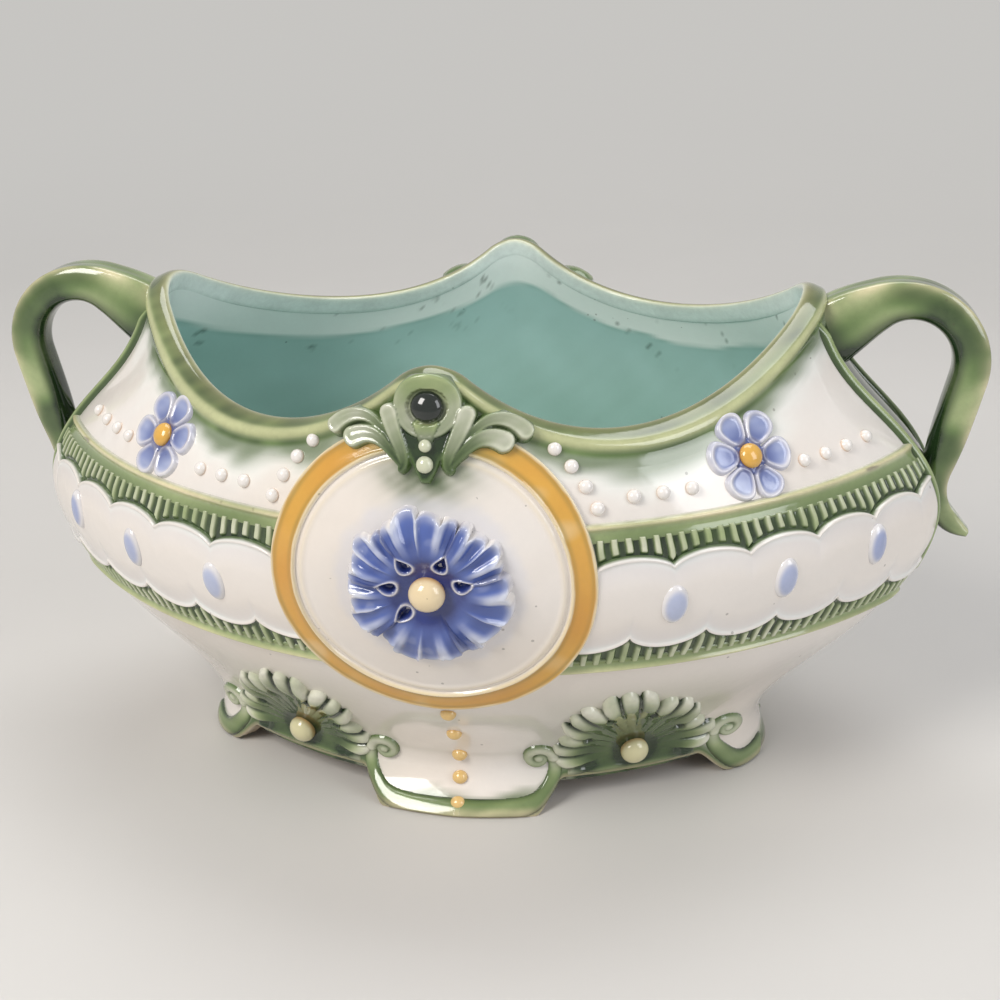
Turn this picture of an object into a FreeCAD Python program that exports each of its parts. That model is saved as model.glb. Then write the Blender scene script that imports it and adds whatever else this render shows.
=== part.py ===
import FreeCAD, Part
import math
import os
import Sketcher

# Table-top majolica jardiniere: a cast bowl on four feet, two luted loop handles and moulded
# ornaments (sprigs) luted on. Millimetres. +X is the right end, -Y the front, +Z up, and the
# origin lies on the table under the middle of the bowl.

V = FreeCAD.Vector
UP = V(0, 0, 1)
FRONT = V(0, -1, 0)

# Plan sections from the table upwards. Each is a rounded lozenge: its level, half length, half
# depth, and its point, the ratio by which its long sides are flatter than an oval's. At 1 the
# front has no corner, and the more it grows the sharper the front and back corners are.
STATIONS = {
    "base": (0, 83, 56, 1.10),
    "ankle": (11, 80.5, 48, 1.10),
    "skirt": (25, 88.5, 54.5, 1.10),
    "cavetto": (44, 109, 68, 1.08),
    "belly": (64, 122, 77.5, 1.06),
    "girth": (79, 124.5, 81.5, 1.06),
    "shoulder": (96, 115.5, 82, 1.10),
    "neck": (110, 102.5, 78.5, 1.20),
    "throat": (122, 94.5, 74.5, 1.35),
    "rim": (137, 89.5, 71.5, 1.45),
}

SIZES = {
    "end_radius": (30, "plan radius at the two ends"),
    "face_radius": (18, "plan radius of the front and back corners"),
    "wall": (4.5, "thickness of the bowl's wall"),
    "foot_wall": (6, "thickness of the foot rim round the hollow base"),
    "floor_level": (15, "inside floor above the table"),
    "hollow_level": (10, "underside of the floor above the table"),
    "peak_level": (130.5, "top of the lip at the front and back peaks"),
    "peak_radius": (14, "radius of the lip over a peak"),
    "dip_level": (114, "lowest level of the lip"),
    "dip_offset": (46, "distance of a dip from the middle"),
    "lip_height": (5.6, "height of the rim moulding"),
    "arch_start": (20, "edge of the front foot at the table"),
    "arch_end": (72, "edge of the end foot at the table"),
    "arch_height": (7.8, "soffit of an arch above the table"),
    "arch_slope": (10, "run of an arch's flank"),
    "arch_radius": (3, "rounding between an arch's flank and soffit"),
    "disc_relief": (1.0, "relief of the medallion's disc"),
    "band_relief": (1.5, "relief of the bands, ridges and rim moulding"),
    "sprig_relief": (2.4, "relief of the ring, flowers, palmettes and scrolls"),
    "high_relief": (4.5, "relief of the cornflower and the crest"),
    "medallion_level": (80, "middle of the medallion"),
    "medallion_radius": (39, "outer radius of the medallion's ring"),
    "ring_width": (6, "width of the medallion's ring"),
    "cornflower_radius": (21, "radius of the cornflower to its petal tips"),
    "cornflower_notch": (3, "depth of the notches between its petals"),
    "cornflower_pearl_radius": (4.6, "pearl in the middle of the cornflower"),
    "upper_fillet_level": (92.8, "lower edge of the upper fillet"),
    "upper_fillet_height": (3.4, "height of the upper fillet"),
    "lower_fillet_level": (55, "lower edge of the lower fillet"),
    "lower_fillet_height": (2.8, "height of the lower fillet"),
    "scallop_top": (84.8, "level of the upper cusps of the scalloped band"),
    "scallop_bottom": (65.2, "level of the lower cusps of the scalloped band"),
    "scallop_rise": (3.6, "rise of a lobe past its cusps"),
    "scallop_first": (56.5, "distance of the first upper cusp from the middle"),
    "scallop_pitch": (20, "length of a lobe along the girth"),
    "reed_pitch": (3.4, "spacing of the reeds along the girth"),
    "reed_width": (1.7, "width of a reed"),
    "reed_relief": (1.0, "relief of a reed"),
    "cabochon_level": (75.5, "middle of the cabochons"),
    "cabochon_width": (5.6, "width of a cabochon"),
    "cabochon_height": (8.8, "height of a cabochon"),
    "cabochon_rise": (2.2, "relief of a cabochon"),
    "pearl_radius": (1.7, "radius of a neck pearl"),
    "pearl_stand": (3.5, "distance of the pearls from the medallion's ring"),
    "pearl_top_angle": (41, "angle of the highest pearl round the medallion"),
    "pearl_angle_step": (7.6, "angle between pearls round the medallion"),
    "pearl_row_level": (100.5, "level of the row of pearls"),
    "pearl_row_start": (46.8, "distance of the row's first pearl from the middle"),
    "pearl_row_step": (6.6, "spacing of the row before the flower"),
    "pearl_end_start": (85.2, "distance of the first pearl past the flower"),
    "pearl_end_step": (5.8, "spacing of the row past the flower"),
    "flower_offset": (73, "distance of a forget-me-not from the middle"),
    "flower_level": (104.6, "middle of a forget-me-not"),
    "flower_radius": (12.2, "radius of a forget-me-not"),
    "flower_notch": (4.4, "depth of the notches between its petals"),
    "flower_centre_radius": (3.2, "radius of a forget-me-not's centre"),
    "palmette_offset": (47, "distance of a palmette from the middle"),
    "palmette_level": (9.5, "foot of a palmette"),
    "palmette_height": (35, "height of a palmette"),
    "palmette_half_width": (24, "half width of a palmette"),
    "palmette_notch": (0.72, "share of a leaf's reach that its notches reach"),
    "palmette_pearl_level": (16, "middle of a palmette's pearl"),
    "palmette_pearl_radius": (4.0, "radius of a palmette's pearl"),
    "scroll_radius": (4.2, "radius of a foot scroll"),
    "scroll_level": (16, "middle of the foot scrolls"),
    "front_scroll_offset": (20.5, "distance of a front foot's scroll from the middle"),
    "end_scroll_offset": (71, "distance of an end foot's scroll from the middle"),
    "crest_foot": (104, "foot of the crest"),
    "crest_half_width": (20.6, "half width of the crest"),
    "jewel_radius": (4.0, "radius of the crest's jewel"),
    "jewel_drop": (8, "jewel below the lip's peak"),
    "crest_bead_radius": (2.6, "radius of the bead in the crest's foot"),
    "crest_bead_rise": (6, "bead above the crest's foot"),
    "bead_radius": (2.0, "radius of a bead of the chain"),
    "bead_top": (35.5, "level of the highest bead"),
    "bead_bottom": (6, "level of the lowest bead"),
    "border_offset": (8.5, "distance of a border ridge from the end's middle"),
    "border_width": (2.5, "width of a border ridge"),
    "border_top": (116, "top of a border ridge"),
    "handle_width": (10.5, "width of a handle from front to back"),
    "handle_thickness": (9.8, "thickness of a handle in the plane of its loop"),
    "handle_round": (3, "rounding of a handle's edges"),
    "handle_offset": (113.2, "distance of a handle's bow from the middle"),
    "handle_level": (114.4, "centre of a handle's bow above the table"),
    "handle_bow": (17.2, "radius of the bow's middle line"),
    "handle_rise": (22, "rise of a handle out of the neck in degrees"),
    "handle_lean": (13, "lean of a handle's outer leg in degrees"),
    "tail_level": (77, "level where a handle's tail turns outwards"),
    "tail_leg": (127.2, "distance of a handle's outer side from the middle at its tail"),
    "tail_reach": (134.4, "distance of a tail's tip from the middle"),
    "tail_tip_level": (67.2, "level of a tail's tip"),
    "tail_tip": (2.4, "half thickness of a tail's tip"),
    "tail_foot_level": (58, "level where a tail runs into the bowl"),
    "tail_inset": (0.6, "step from a handle's side to its tail's"),
    "tail_round": (1.6, "rounding of a tail's edges"),
    "clearance": (0.3, "gap left beside a neighbouring piece"),
    "seat": (0.1, "thickness of the slip under a luted piece"),
}

CORNFLOWER_PETALS = 14
FLOWER_PETALS = 6
PALMETTE_LEAVES = 7
RING_PEARLS = 3
ROW_PEARLS = 3
END_PEARLS = 4
CABOCHONS = 3
CHAIN_BEADS = 4
# The tools that trim a piece reach this far past the bowl.
REACH = 200.0

doc = FreeCAD.newDocument("jardiniere")
sheet = doc.addObject("Spreadsheet::Sheet", "Sizes")
size = {}
nodes = []


def fill_sheet():
    """Writes each driving size into a cell of its own and names the cell."""
    rows = []
    for station, values in STATIONS.items():
        for kind, value in zip(("level", "half_length", "half_depth", "point"), values):
            rows.append((f"{station}_{kind}", value, f"{station} section, {kind}"))
    for name, (value, remark) in SIZES.items():
        rows.append((name, value, remark))
    for number, (name, value, remark) in enumerate(rows, start=1):
        sheet.set(f"A{number}", remark)
        sheet.set(f"B{number}", str(value))
        sheet.setAlias(f"B{number}", name)
    doc.recompute()
    for name, _, _ in rows:
        size[name] = float(sheet.get(name))


def side_radius(length, depth, radius, point):
    """Radius of a plan's long sides: an oval's, made flatter by the point."""
    return point * ((length - radius) ** 2 + depth**2 - radius**2) / (2 * (depth - radius))


def bind(sketch, dimensions):
    """Adds dimensions to a sketch, each driven by the sheet's expression."""
    for kind, values, expression in dimensions:
        number = sketch.addConstraint(Sketcher.Constraint(kind, *values))
        sketch.setExpression(f"Constraints[{number}]", expression)


def plan_section(name, station, grow, level):
    """Sketch of one plan section: eight tangent arcs, parallel to the station's outline.

    grow is the sheet's expression for how far the outline stands outside the bowl's, and level
    the expression for its height. Right end, back right side, back corner and so on.
    """
    length = size[f"{station}_half_length"]
    depth = size[f"{station}_half_depth"]
    end, face = size["end_radius"], size["face_radius"]
    side = side_radius(length, depth, end, size[f"{station}_point"])
    end_x, face_y = length - end, depth - face
    span = math.hypot(end_x, face_y)
    along = ((side - end) ** 2 - (side - face) ** 2 + span**2) / (2 * span)
    across = math.sqrt((side - end) ** 2 - along**2)
    side_x = end_x - (end_x * along + face_y * across) / span
    side_y = (face_y * along - end_x * across) / span
    low = math.atan2(-side_y, end_x - side_x)
    high = math.atan2(face_y - side_y, -side_x)
    half, full = math.pi, 2 * math.pi
    arcs = [
        (V(end_x, 0, 0), end, -low, low),
        (V(side_x, side_y, 0), side, low, high),
        (V(0, face_y, 0), face, high, half - high),
        (V(-side_x, side_y, 0), side, half - high, half - low),
        (V(-end_x, 0, 0), end, half - low, half + low),
        (V(-side_x, -side_y, 0), side, half + low, half + high),
        (V(0, -face_y, 0), face, half + high, full - high),
        (V(side_x, -side_y, 0), side, full - high, full - low),
    ]
    sketch = doc.addObject("Sketcher::SketchObject", name)
    for centre, radius, start, stop in arcs:
        sketch.addGeometry(Part.ArcOfCircle(Part.Circle(centre, UP, radius), start, stop), False)
    for number in range(8):
        sketch.addConstraint(Sketcher.Constraint("Tangent", number, 2, (number + 1) % 8, 1))
    for number, axis in ((0, -1), (4, -1), (2, -2), (6, -2)):
        sketch.addConstraint(Sketcher.Constraint("PointOnObject", number, 3, axis))
    for first, other in ((0, 4), (2, 6), (1, 3), (1, 5), (1, 7)):
        sketch.addConstraint(Sketcher.Constraint("Equal", first, other))
    oval = (
        f"Sizes.{station}_point * ((Sizes.{station}_half_length - Sizes.end_radius)^2"
        f" + Sizes.{station}_half_depth^2 - Sizes.end_radius^2)"
        f" / (2 * (Sizes.{station}_half_depth - Sizes.end_radius))"
    )
    bind(sketch, [
        ("Radius", (0, end), f"Sizes.end_radius + {grow}"),
        ("Radius", (2, face), f"Sizes.face_radius + {grow}"),
        ("Radius", (1, side), f"{oval} + {grow}"),
        ("DistanceX", (-1, 1, 0, 3, end_x), f"Sizes.{station}_half_length - Sizes.end_radius"),
        ("DistanceX", (4, 3, -1, 1, end_x), f"Sizes.{station}_half_length - Sizes.end_radius"),
        ("DistanceY", (-1, 1, 2, 3, face_y), f"Sizes.{station}_half_depth - Sizes.face_radius"),
        ("DistanceY", (6, 3, -1, 1, face_y), f"Sizes.{station}_half_depth - Sizes.face_radius"),
    ])
    sketch.setExpression("Placement.Base.z", level)
    return sketch


def loft(name, sections):
    """Solid through plan sections, from the lowest to the highest."""
    solid = doc.addObject("Part::Loft", name)
    solid.Sections = sections
    solid.Solid = True
    return solid


def skin(name, grow):
    """The bowl's full outer form, standing out by grow."""
    sections = [
        plan_section(f"{name}_{station}", station, grow, f"Sizes.{station}_level") for station in STATIONS
    ]
    return loft(name, sections)


def boolean(kind, name, base, tool):
    """Part::Cut, Part::Common or Part::Fuse of two objects."""
    result = doc.addObject(f"Part::{kind}", name)
    result.Base = base
    result.Tool = tool
    return result


def face_of(name, start, steps):
    """Closed flat face. Each step is (end,) for a line or (through, end) for an arc."""
    edges = []
    here = start
    for step in steps:
        if len(step) == 1:
            edges.append(Part.makeLine(here, step[0]))
        else:
            edges.append(Part.Arc(here, step[0], step[1]).toShape())
        here = step[-1]
    feature = doc.addObject("Part::Feature", name)
    feature.Shape = Part.Face(Part.Wire(edges))
    return feature


def prism(name, outline, direction, both_ways=False):
    """Trimming tool: an outline carried a long way along a direction."""
    solid = doc.addObject("Part::Extrusion", name)
    solid.Base = outline
    solid.DirMode = "Custom"
    solid.Dir = direction
    solid.LengthFwd = 2 * REACH if both_ways else REACH
    solid.Symmetric = both_ways
    solid.Solid = True
    return solid


def slab(name, corner, spans):
    """Box with its corner and its three spans given as the sheet's expressions."""
    box = doc.addObject("Part::Box", name)
    for axis, expression in zip("xyz", corner):
        box.setExpression(f"Placement.Base.{axis}", expression)
    for side, expression in zip(("Length", "Width", "Height"), spans):
        box.setExpression(side, expression)
    return box


def rod(name, radius):
    """Cylinder along -Y through the middle of the front medallion."""
    cylinder = doc.addObject("Part::Cylinder", name)
    cylinder.setExpression("Radius", radius)
    cylinder.Height = REACH
    cylinder.Placement.Rotation = FreeCAD.Rotation(UP, FRONT)
    cylinder.setExpression("Placement.Base.z", "Sizes.medallion_level")
    return cylinder


def group(name, members):
    """Separate solids of one node."""
    compound = doc.addObject("Part::Compound", name)
    compound.Links = members
    return compound


def mirrored(name, source, normal):
    """The same piece on the other side of the middle."""
    copy = doc.addObject("Part::Mirroring", name)
    copy.Source = source
    copy.Normal = normal
    return copy


def keep(piece, label):
    """Makes a piece one of the object's nodes."""
    piece.Label = label
    nodes.append(piece)
    return piece


def keep_front_and_back(piece, label):
    keep(piece, f"front_{label}")
    keep(mirrored(f"{label}_at_back", piece, V(0, 1, 0)), f"back_{label}")


def four_quarters(piece, label):
    """The front right piece and its three mirror images."""
    left = mirrored(f"{label}_left", piece, V(1, 0, 0))
    return {
        "front_right": piece,
        "front_left": left,
        "back_right": mirrored(f"{label}_back", piece, V(0, 1, 0)),
        "back_left": mirrored(f"{label}_back_left", left, V(0, 1, 0)),
    }


def keep_quarters(piece, label):
    for quarter, copy in four_quarters(piece, label).items():
        keep(copy, f"{quarter}_{label}")


def spot(form, across, level):
    """Point and outward normal of a form's front, at a distance from the middle and a level."""
    line = Part.makeLine(V(across, -REACH, level), V(across, 0, level))
    inside = line.common(form.Shape)
    point = min(inside.Vertexes, key=lambda corner: corner.Y).Point
    mark = Part.Vertex(point)
    face = min(form.Shape.Faces, key=lambda side: side.distToShape(mark)[0])
    normal = face.normalAt(*face.Surface.parameter(point))
    if normal.y > 0:
        normal = normal.negative()
    return point, normal


def upright(normal):
    """Turns local z to a normal and keeps local y as near to upright as it can be."""
    side = UP.cross(normal).normalize()
    return FreeCAD.Rotation(side, normal.cross(side), normal, "ZYX")


def sheet_value(expression):
    """Value of an expression that is one of the sheet's names."""
    return size[expression.split(".")[1]]


def dome(name, form, across, level, radius):
    """Half pearl that stands on a form, lifted where the form is hollow under its edge."""
    point, normal = spot(form, across, level)
    turn = upright(normal)
    lift = 0
    for step in range(8):
        angle = math.pi * step / 4
        edge = point + turn.multVec(V(math.cos(angle), math.sin(angle), 0)) * sheet_value(radius)
        lift = max(lift, (spot(form, edge.x, edge.z)[0] - edge).dot(normal))
    pearl = doc.addObject("Part::Sphere", name)
    pearl.setExpression("Radius", radius)
    pearl.Angle1 = 0
    pearl.Placement = FreeCAD.Placement(point + normal * (size["seat"] + lift), turn)
    return pearl


def walk(form, level):
    """Points of the front right quarter of a form's plan at a level, with the way walked to each."""
    wire = form.Shape.slice(UP, level)[0]
    points = [p for p in wire.discretize(Number=1200) if p.x >= 0 and p.y <= 0]
    points.sort(key=lambda p: p.x - p.y * 1e-6)
    points.sort(key=lambda p: math.atan2(p.y, p.x))
    ways = [0.0]
    for before, after in zip(points, points[1:]):
        ways.append(ways[-1] + (after - before).Length)
    return points, ways


def along(points, ways, way):
    """Point at a way walked, and the direction of the walk there."""
    way = min(max(way, ways[0]), ways[-1])
    index = next((n for n, w in enumerate(ways) if w >= way and n > 0), len(ways) - 1)
    before, after = points[index - 1], points[index]
    share = (way - ways[index - 1]) / max(ways[index] - ways[index - 1], 1e-9)
    return before + (after - before) * share, (after - before).normalize()


def way_at(points, ways, across):
    """Way walked where the plan is at a distance from the middle."""
    return min(zip(points, ways), key=lambda pair: abs(pair[0].x - across))[1]


def lip_outline(name, drop, top):
    """Face above the waved lip, lowered by drop, up to a level, or down to a second wave.

    The lip is a peak's arc between two dips' arcs, all tangent to each other.
    """
    peak, dip = size["peak_level"] - drop, size["dip_level"] - drop
    offset, crown = size["dip_offset"], size["peak_radius"]
    reach = (offset**2 + (peak - dip) ** 2) / (2 * (peak - dip))
    sag = reach - crown
    join = V(offset * crown / reach, 0, peak - crown + (dip + sag - peak + crown) * crown / reach)
    edge = V(offset + math.sqrt(sag**2 - (dip + sag - top) ** 2), 0, top)
    flip = lambda p: V(-p.x, 0, p.z)
    bottom = V(offset, 0, dip)
    steps = [
        (bottom, join),
        (V(0, 0, peak), flip(join)),
        (flip(bottom), flip(edge)),
        (edge,),
    ]
    return face_of(name, edge, steps)


def make_forms():
    """The bowl's outer form and the same form grown by each relief."""
    forms = {"bowl": skin("form", "0"), "seat": skin("seat_form", "Sizes.seat")}
    for relief in ("disc", "band", "sprig", "high"):
        forms[relief] = skin(f"{relief}_form", f"Sizes.{relief}_relief")
    forms["disc_seat"] = skin("disc_seat_form", "Sizes.disc_relief + Sizes.seat")
    return forms


def make_bowl(form):
    """Cast shell: outer form less the cavity, the hollow base, four arches and the waved lip."""
    wall = "-Sizes.wall"
    inner = [plan_section("cavity_floor", "ankle", wall, "Sizes.floor_level")]
    for station in list(STATIONS)[2:]:
        inner.append(plan_section(f"cavity_{station}", station, wall, f"Sizes.{station}_level"))
    hollow = [
        plan_section("hollow_foot", "base", "-Sizes.foot_wall", "Sizes.base_level"),
        plan_section("hollow_top", "ankle", "-Sizes.foot_wall", "Sizes.hollow_level"),
    ]
    top = size["rim_level"] + size["lip_height"]
    lip = prism("lip_cut", lip_outline("lip_line", 0, top), FRONT, both_ways=True)
    start, stop = size["arch_start"], size["arch_end"]
    slope, height = size["arch_slope"], size["arch_height"]
    below = -size["arch_height"]
    steps = [
        (V(start, 0, 0),),
        (V(start + 0.75 * slope, 0, 0.6 * height), V(start + slope + size["arch_radius"], 0, height)),
        (V(stop - slope - size["arch_radius"], 0, height),),
        (V(stop - 0.75 * slope, 0, 0.6 * height), V(stop, 0, 0)),
        (V(stop, 0, below),),
        (V(start, 0, below),),
    ]
    right_arch = prism("right_arch", face_of("arch_line", V(start, 0, below), steps), FRONT, both_ways=True)
    left_arch = mirrored("left_arch", right_arch, V(1, 0, 0))
    bowl = form
    cutters = [loft("cavity", inner), loft("hollow", hollow), lip, right_arch, left_arch]
    for number, cutter in enumerate(cutters, start=1):
        bowl = boolean("Cut", f"bowl_cut_{number}", bowl, cutter)
    keep(bowl, "bowl")
    return lip


def make_rim_moulding(shells, lip, gaps):
    """Roll outside the lip: the part of the band shell between two waves, clear of the flowers."""
    top = size["rim_level"] + size["lip_height"]
    lower = prism("lip_foot", lip_outline("lip_foot_line", size["lip_height"], top), FRONT, both_ways=True)
    above = boolean("Common", "rim_above", shells["band"], lower)
    roll = boolean("Cut", "rim_roll", above, lip)
    for quarter, gap in gaps.items():
        roll = boolean("Cut", f"rim_roll_{quarter}", roll, gap)
    return keep(roll, "rim_moulding")


def handle_path():
    """Middle line of the right handle: out of the neck, round the bow and down the leg."""
    bow, level, offset = size["handle_bow"], size["handle_level"], size["handle_offset"]
    rise, lean = math.radians(size["handle_rise"]), math.radians(size["handle_lean"])
    root, foot = size["rim_half_length"], size["tail_level"]
    neck = V(offset - bow * math.sin(rise), level + bow * math.cos(rise), 0)
    leg = V(offset + bow * math.cos(lean), level - bow * math.sin(lean), 0)
    start = V(root, neck.y - (neck.x - root) * math.tan(rise), 0)
    stop = V(leg.x - (leg.y - foot) * math.tan(lean), foot, 0)
    path = doc.addObject("Sketcher::SketchObject", "handle_path")
    path.Placement.Rotation = FreeCAD.Rotation(V(1, 0, 0), 90)
    circle = Part.Circle(V(offset, level, 0), UP, bow)
    path.addGeometry(Part.LineSegment(start, neck), False)
    path.addGeometry(Part.ArcOfCircle(circle, -lean, math.pi / 2 + rise), False)
    path.addGeometry(Part.LineSegment(leg, stop), False)
    path.addConstraint(Sketcher.Constraint("Tangent", 0, 2, 1, 2))
    path.addConstraint(Sketcher.Constraint("Tangent", 1, 1, 2, 1))
    bind(path, [
        ("Radius", (1, bow), "Sizes.handle_bow"),
        ("DistanceX", (-1, 1, 1, 3, offset), "Sizes.handle_offset"),
        ("DistanceY", (-1, 1, 1, 3, level), "Sizes.handle_level"),
        ("DistanceX", (-1, 1, 0, 1, root), "Sizes.rim_half_length"),
        ("DistanceY", (-1, 1, 2, 2, foot), "Sizes.tail_level"),
        ("Angle", (0, rise), "Sizes.handle_rise"),
        ("Angle", (2, -math.pi / 2 - lean), "-90 - Sizes.handle_lean"),
    ])
    return path, start


def handle_profile(start):
    """Cross section of the handle: a rectangle with rounded corners, square to the path's start."""
    width, depth = size["handle_thickness"] / 2, size["handle_width"] / 2
    soft = size["handle_round"]
    x, y = width - soft, depth - soft
    quarter = math.pi / 2
    profile = doc.addObject("Sketcher::SketchObject", "handle_profile")
    corners = [(V(x, -y, 0), 3), (V(x, y, 0), 0), (V(-x, y, 0), 1), (V(-x, -y, 0), 2)]
    lines = [
        (V(-x, -depth, 0), V(x, -depth, 0)),
        (V(width, -y, 0), V(width, y, 0)),
        (V(x, depth, 0), V(-x, depth, 0)),
        (V(-width, y, 0), V(-width, -y, 0)),
    ]
    for (first, last), (centre, turn) in zip(lines, corners):
        circle = Part.Circle(centre, UP, soft)
        profile.addGeometry(Part.LineSegment(first, last), False)
        profile.addGeometry(Part.ArcOfCircle(circle, turn * quarter, (turn + 1) * quarter), False)
    for number in range(8):
        profile.addConstraint(Sketcher.Constraint("Tangent", number, 2, (number + 1) % 8, 1))
    for number, kind in ((0, "Horizontal"), (2, "Vertical"), (4, "Horizontal"), (6, "Vertical")):
        profile.addConstraint(Sketcher.Constraint(kind, number))
    for other in (3, 5, 7):
        profile.addConstraint(Sketcher.Constraint("Equal", 1, other))
    bind(profile, [
        ("Radius", (1, soft), "Sizes.handle_round"),
        ("DistanceX", (-1, 1, 2, 1, width), "Sizes.handle_thickness / 2"),
        ("DistanceX", (6, 1, -1, 1, width), "Sizes.handle_thickness / 2"),
        ("DistanceY", (-1, 1, 4, 1, depth), "Sizes.handle_width / 2"),
        ("DistanceY", (0, 1, -1, 1, depth), "Sizes.handle_width / 2"),
    ])
    rise = math.radians(size["handle_rise"])
    turn = FreeCAD.Rotation(UP, V(math.cos(rise), 0, math.sin(rise)))
    profile.Placement = FreeCAD.Placement(V(start.x, 0, start.y), turn)
    return profile


def handle_tail():
    """Curled tail under the handle's leg: a padded outline with rounded edges."""
    reach, level, foot = size["tail_reach"], size["tail_tip_level"], size["tail_foot_level"]
    leg = size["tail_leg"]
    turn = size["tail_level"] + size["tail_tip"]
    tip = size["tail_tip"]
    head = V(leg + tip / 2, 0, turn + 2 * tip)
    bend = V(leg, 0, turn)
    above = V(reach - tip / 2, 0, level + tip)
    under = V(reach - tip, 0, level - tip)
    low = V(size["cavetto_half_length"], 0, foot - tip)
    steps = [
        (bend,),
        (V(leg + 0.27 * (reach - leg), 0, level + tip + 0.45 * (turn - level - tip)), above),
        (V(reach, 0, level), under),
        (V((reach - tip + low.x) / 2 + 2, 0, (level + foot) / 2 - tip), low),
        (V(low.x, 0, head.z),),
        (head,),
    ]
    pad = doc.addObject("Part::Extrusion", "tail_pad")
    pad.Base = face_of("tail_outline", head, steps)
    pad.DirMode = "Custom"
    pad.Dir = FRONT
    pad.setExpression("LengthFwd", "Sizes.handle_width - 2 * Sizes.tail_inset")
    pad.Symmetric = True
    pad.Solid = True
    doc.recompute()
    rounded = doc.addObject("Part::Fillet", "tail_rounded")
    rounded.Base = pad
    soft = size["tail_round"]
    edges = []
    for number, edge in enumerate(pad.Shape.Edges, start=1):
        bounds = edge.BoundBox
        if bounds.YLength < 1e-6 and bounds.ZMax < turn + tip and bounds.XMax > leg - tip:
            edges.append((number, soft, soft))
    rounded.Edges = edges
    return rounded


def make_handle(form, rim):
    """Loop swept along its path and its curled tail, seated on the bowl and the rim."""
    path, start = handle_path()
    loop = doc.addObject("Part::Sweep", "handle_loop")
    loop.Sections = [handle_profile(start)]
    doc.recompute()
    loop.Spine = (path, [f"Edge{n}" for n in range(1, len(path.Shape.Edges) + 1)])
    loop.Solid = True
    whole = boolean("Fuse", "handle_whole", loop, handle_tail())
    seated = boolean("Cut", "handle_on_bowl", whole, form)
    handle = boolean("Cut", "handle_on_rim", seated, rim)
    keep(handle, "right_handle")
    keep(mirrored("handle_left", handle, V(1, 0, 0)), "left_handle")


def quarter_box(name, low, height):
    """Front right quarter between two levels, clear of the border ridge."""
    edge = "(Sizes.border_offset + Sizes.border_width + Sizes.clearance)"
    return slab(name, ("0", f"-{REACH} - {edge}", low), (f"{REACH}", f"{REACH}", height))


def make_fillets(shells, clear, flower_gap):
    """Plain bands above and below the reeds, clear of the medallion and the flower."""
    for name in ("upper_fillet", "lower_fillet"):
        box = quarter_box(f"{name}_zone", f"Sizes.{name}_level", f"Sizes.{name}_height")
        strip = boolean("Common", f"{name}_strip", shells["band"], box)
        piece = boolean("Cut", f"{name}_piece", strip, clear)
        if name == "upper_fillet":
            piece = boolean("Cut", f"{name}_by_flower", piece, flower_gap)
        keep_quarters(piece, name)


def lobe_edge(form, level):
    """Distances from the middle of the cusps, half a lobe apart, along the girth."""
    points, ways = walk(form, level)
    first = way_at(points, ways, size["scallop_first"])
    cusps = {}
    for half_lobe in range(-2, 11):
        way = first + half_lobe * size["scallop_pitch"] / 2
        past = max(way - ways[-1], 0)
        cusps[half_lobe] = along(points, ways, way)[0].x + past / 2
    return cusps


def make_scallops(form, shells, clear):
    """White band whose upper and lower edges are rows of lobes, set half a lobe apart."""
    top, bottom, rise = size["scallop_top"], size["scallop_bottom"], size["scallop_rise"]
    cusps = lobe_edge(form, (top + bottom) / 2)
    steps = []
    for half_lobe in range(-2, 10, 2):
        middle = V(cusps[half_lobe + 1], 0, top + rise)
        steps.append((middle, V(cusps.get(half_lobe + 2, REACH), 0, top)))
    steps.append((V(cusps[10], 0, bottom),))
    steps.append((V(cusps[9], 0, bottom),))
    for half_lobe in range(9, -1, -2):
        middle = V(cusps[half_lobe - 1], 0, bottom - rise)
        steps.append((middle, V(cusps[half_lobe - 2], 0, bottom)))
    steps.append((V(cusps[-2], 0, bottom),))
    steps.append((V(cusps[-2], 0, top),))
    outline = face_of("scallop_line", V(cusps[-2], 0, top), steps)
    tool = prism("scallop_tool", outline, FRONT)
    strip = boolean("Common", "scallop_strip", shells["band"], tool)
    box = quarter_box("scallop_zone", "Sizes.scallop_bottom - 2 * Sizes.scallop_rise",
                      "Sizes.scallop_top - Sizes.scallop_bottom + 4 * Sizes.scallop_rise")
    inside = boolean("Common", "scallop_inside", strip, box)
    keep_quarters(boolean("Cut", "scallop_piece", inside, clear), "scallop_band")
    return outline


def lobe_level(outline, across, half_width, upper):
    """Highest or lowest level of the lobes within half a width of a distance from the middle."""
    middle = (size["scallop_top"] + size["scallop_bottom"]) / 2
    levels = []
    for edge in outline.Shape.Edges:
        for point in edge.discretize(Number=60):
            if abs(point.x - across) <= half_width and (point.z > middle) == upper:
                levels.append(point.z)
    return max(levels) if upper else min(levels)


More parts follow.
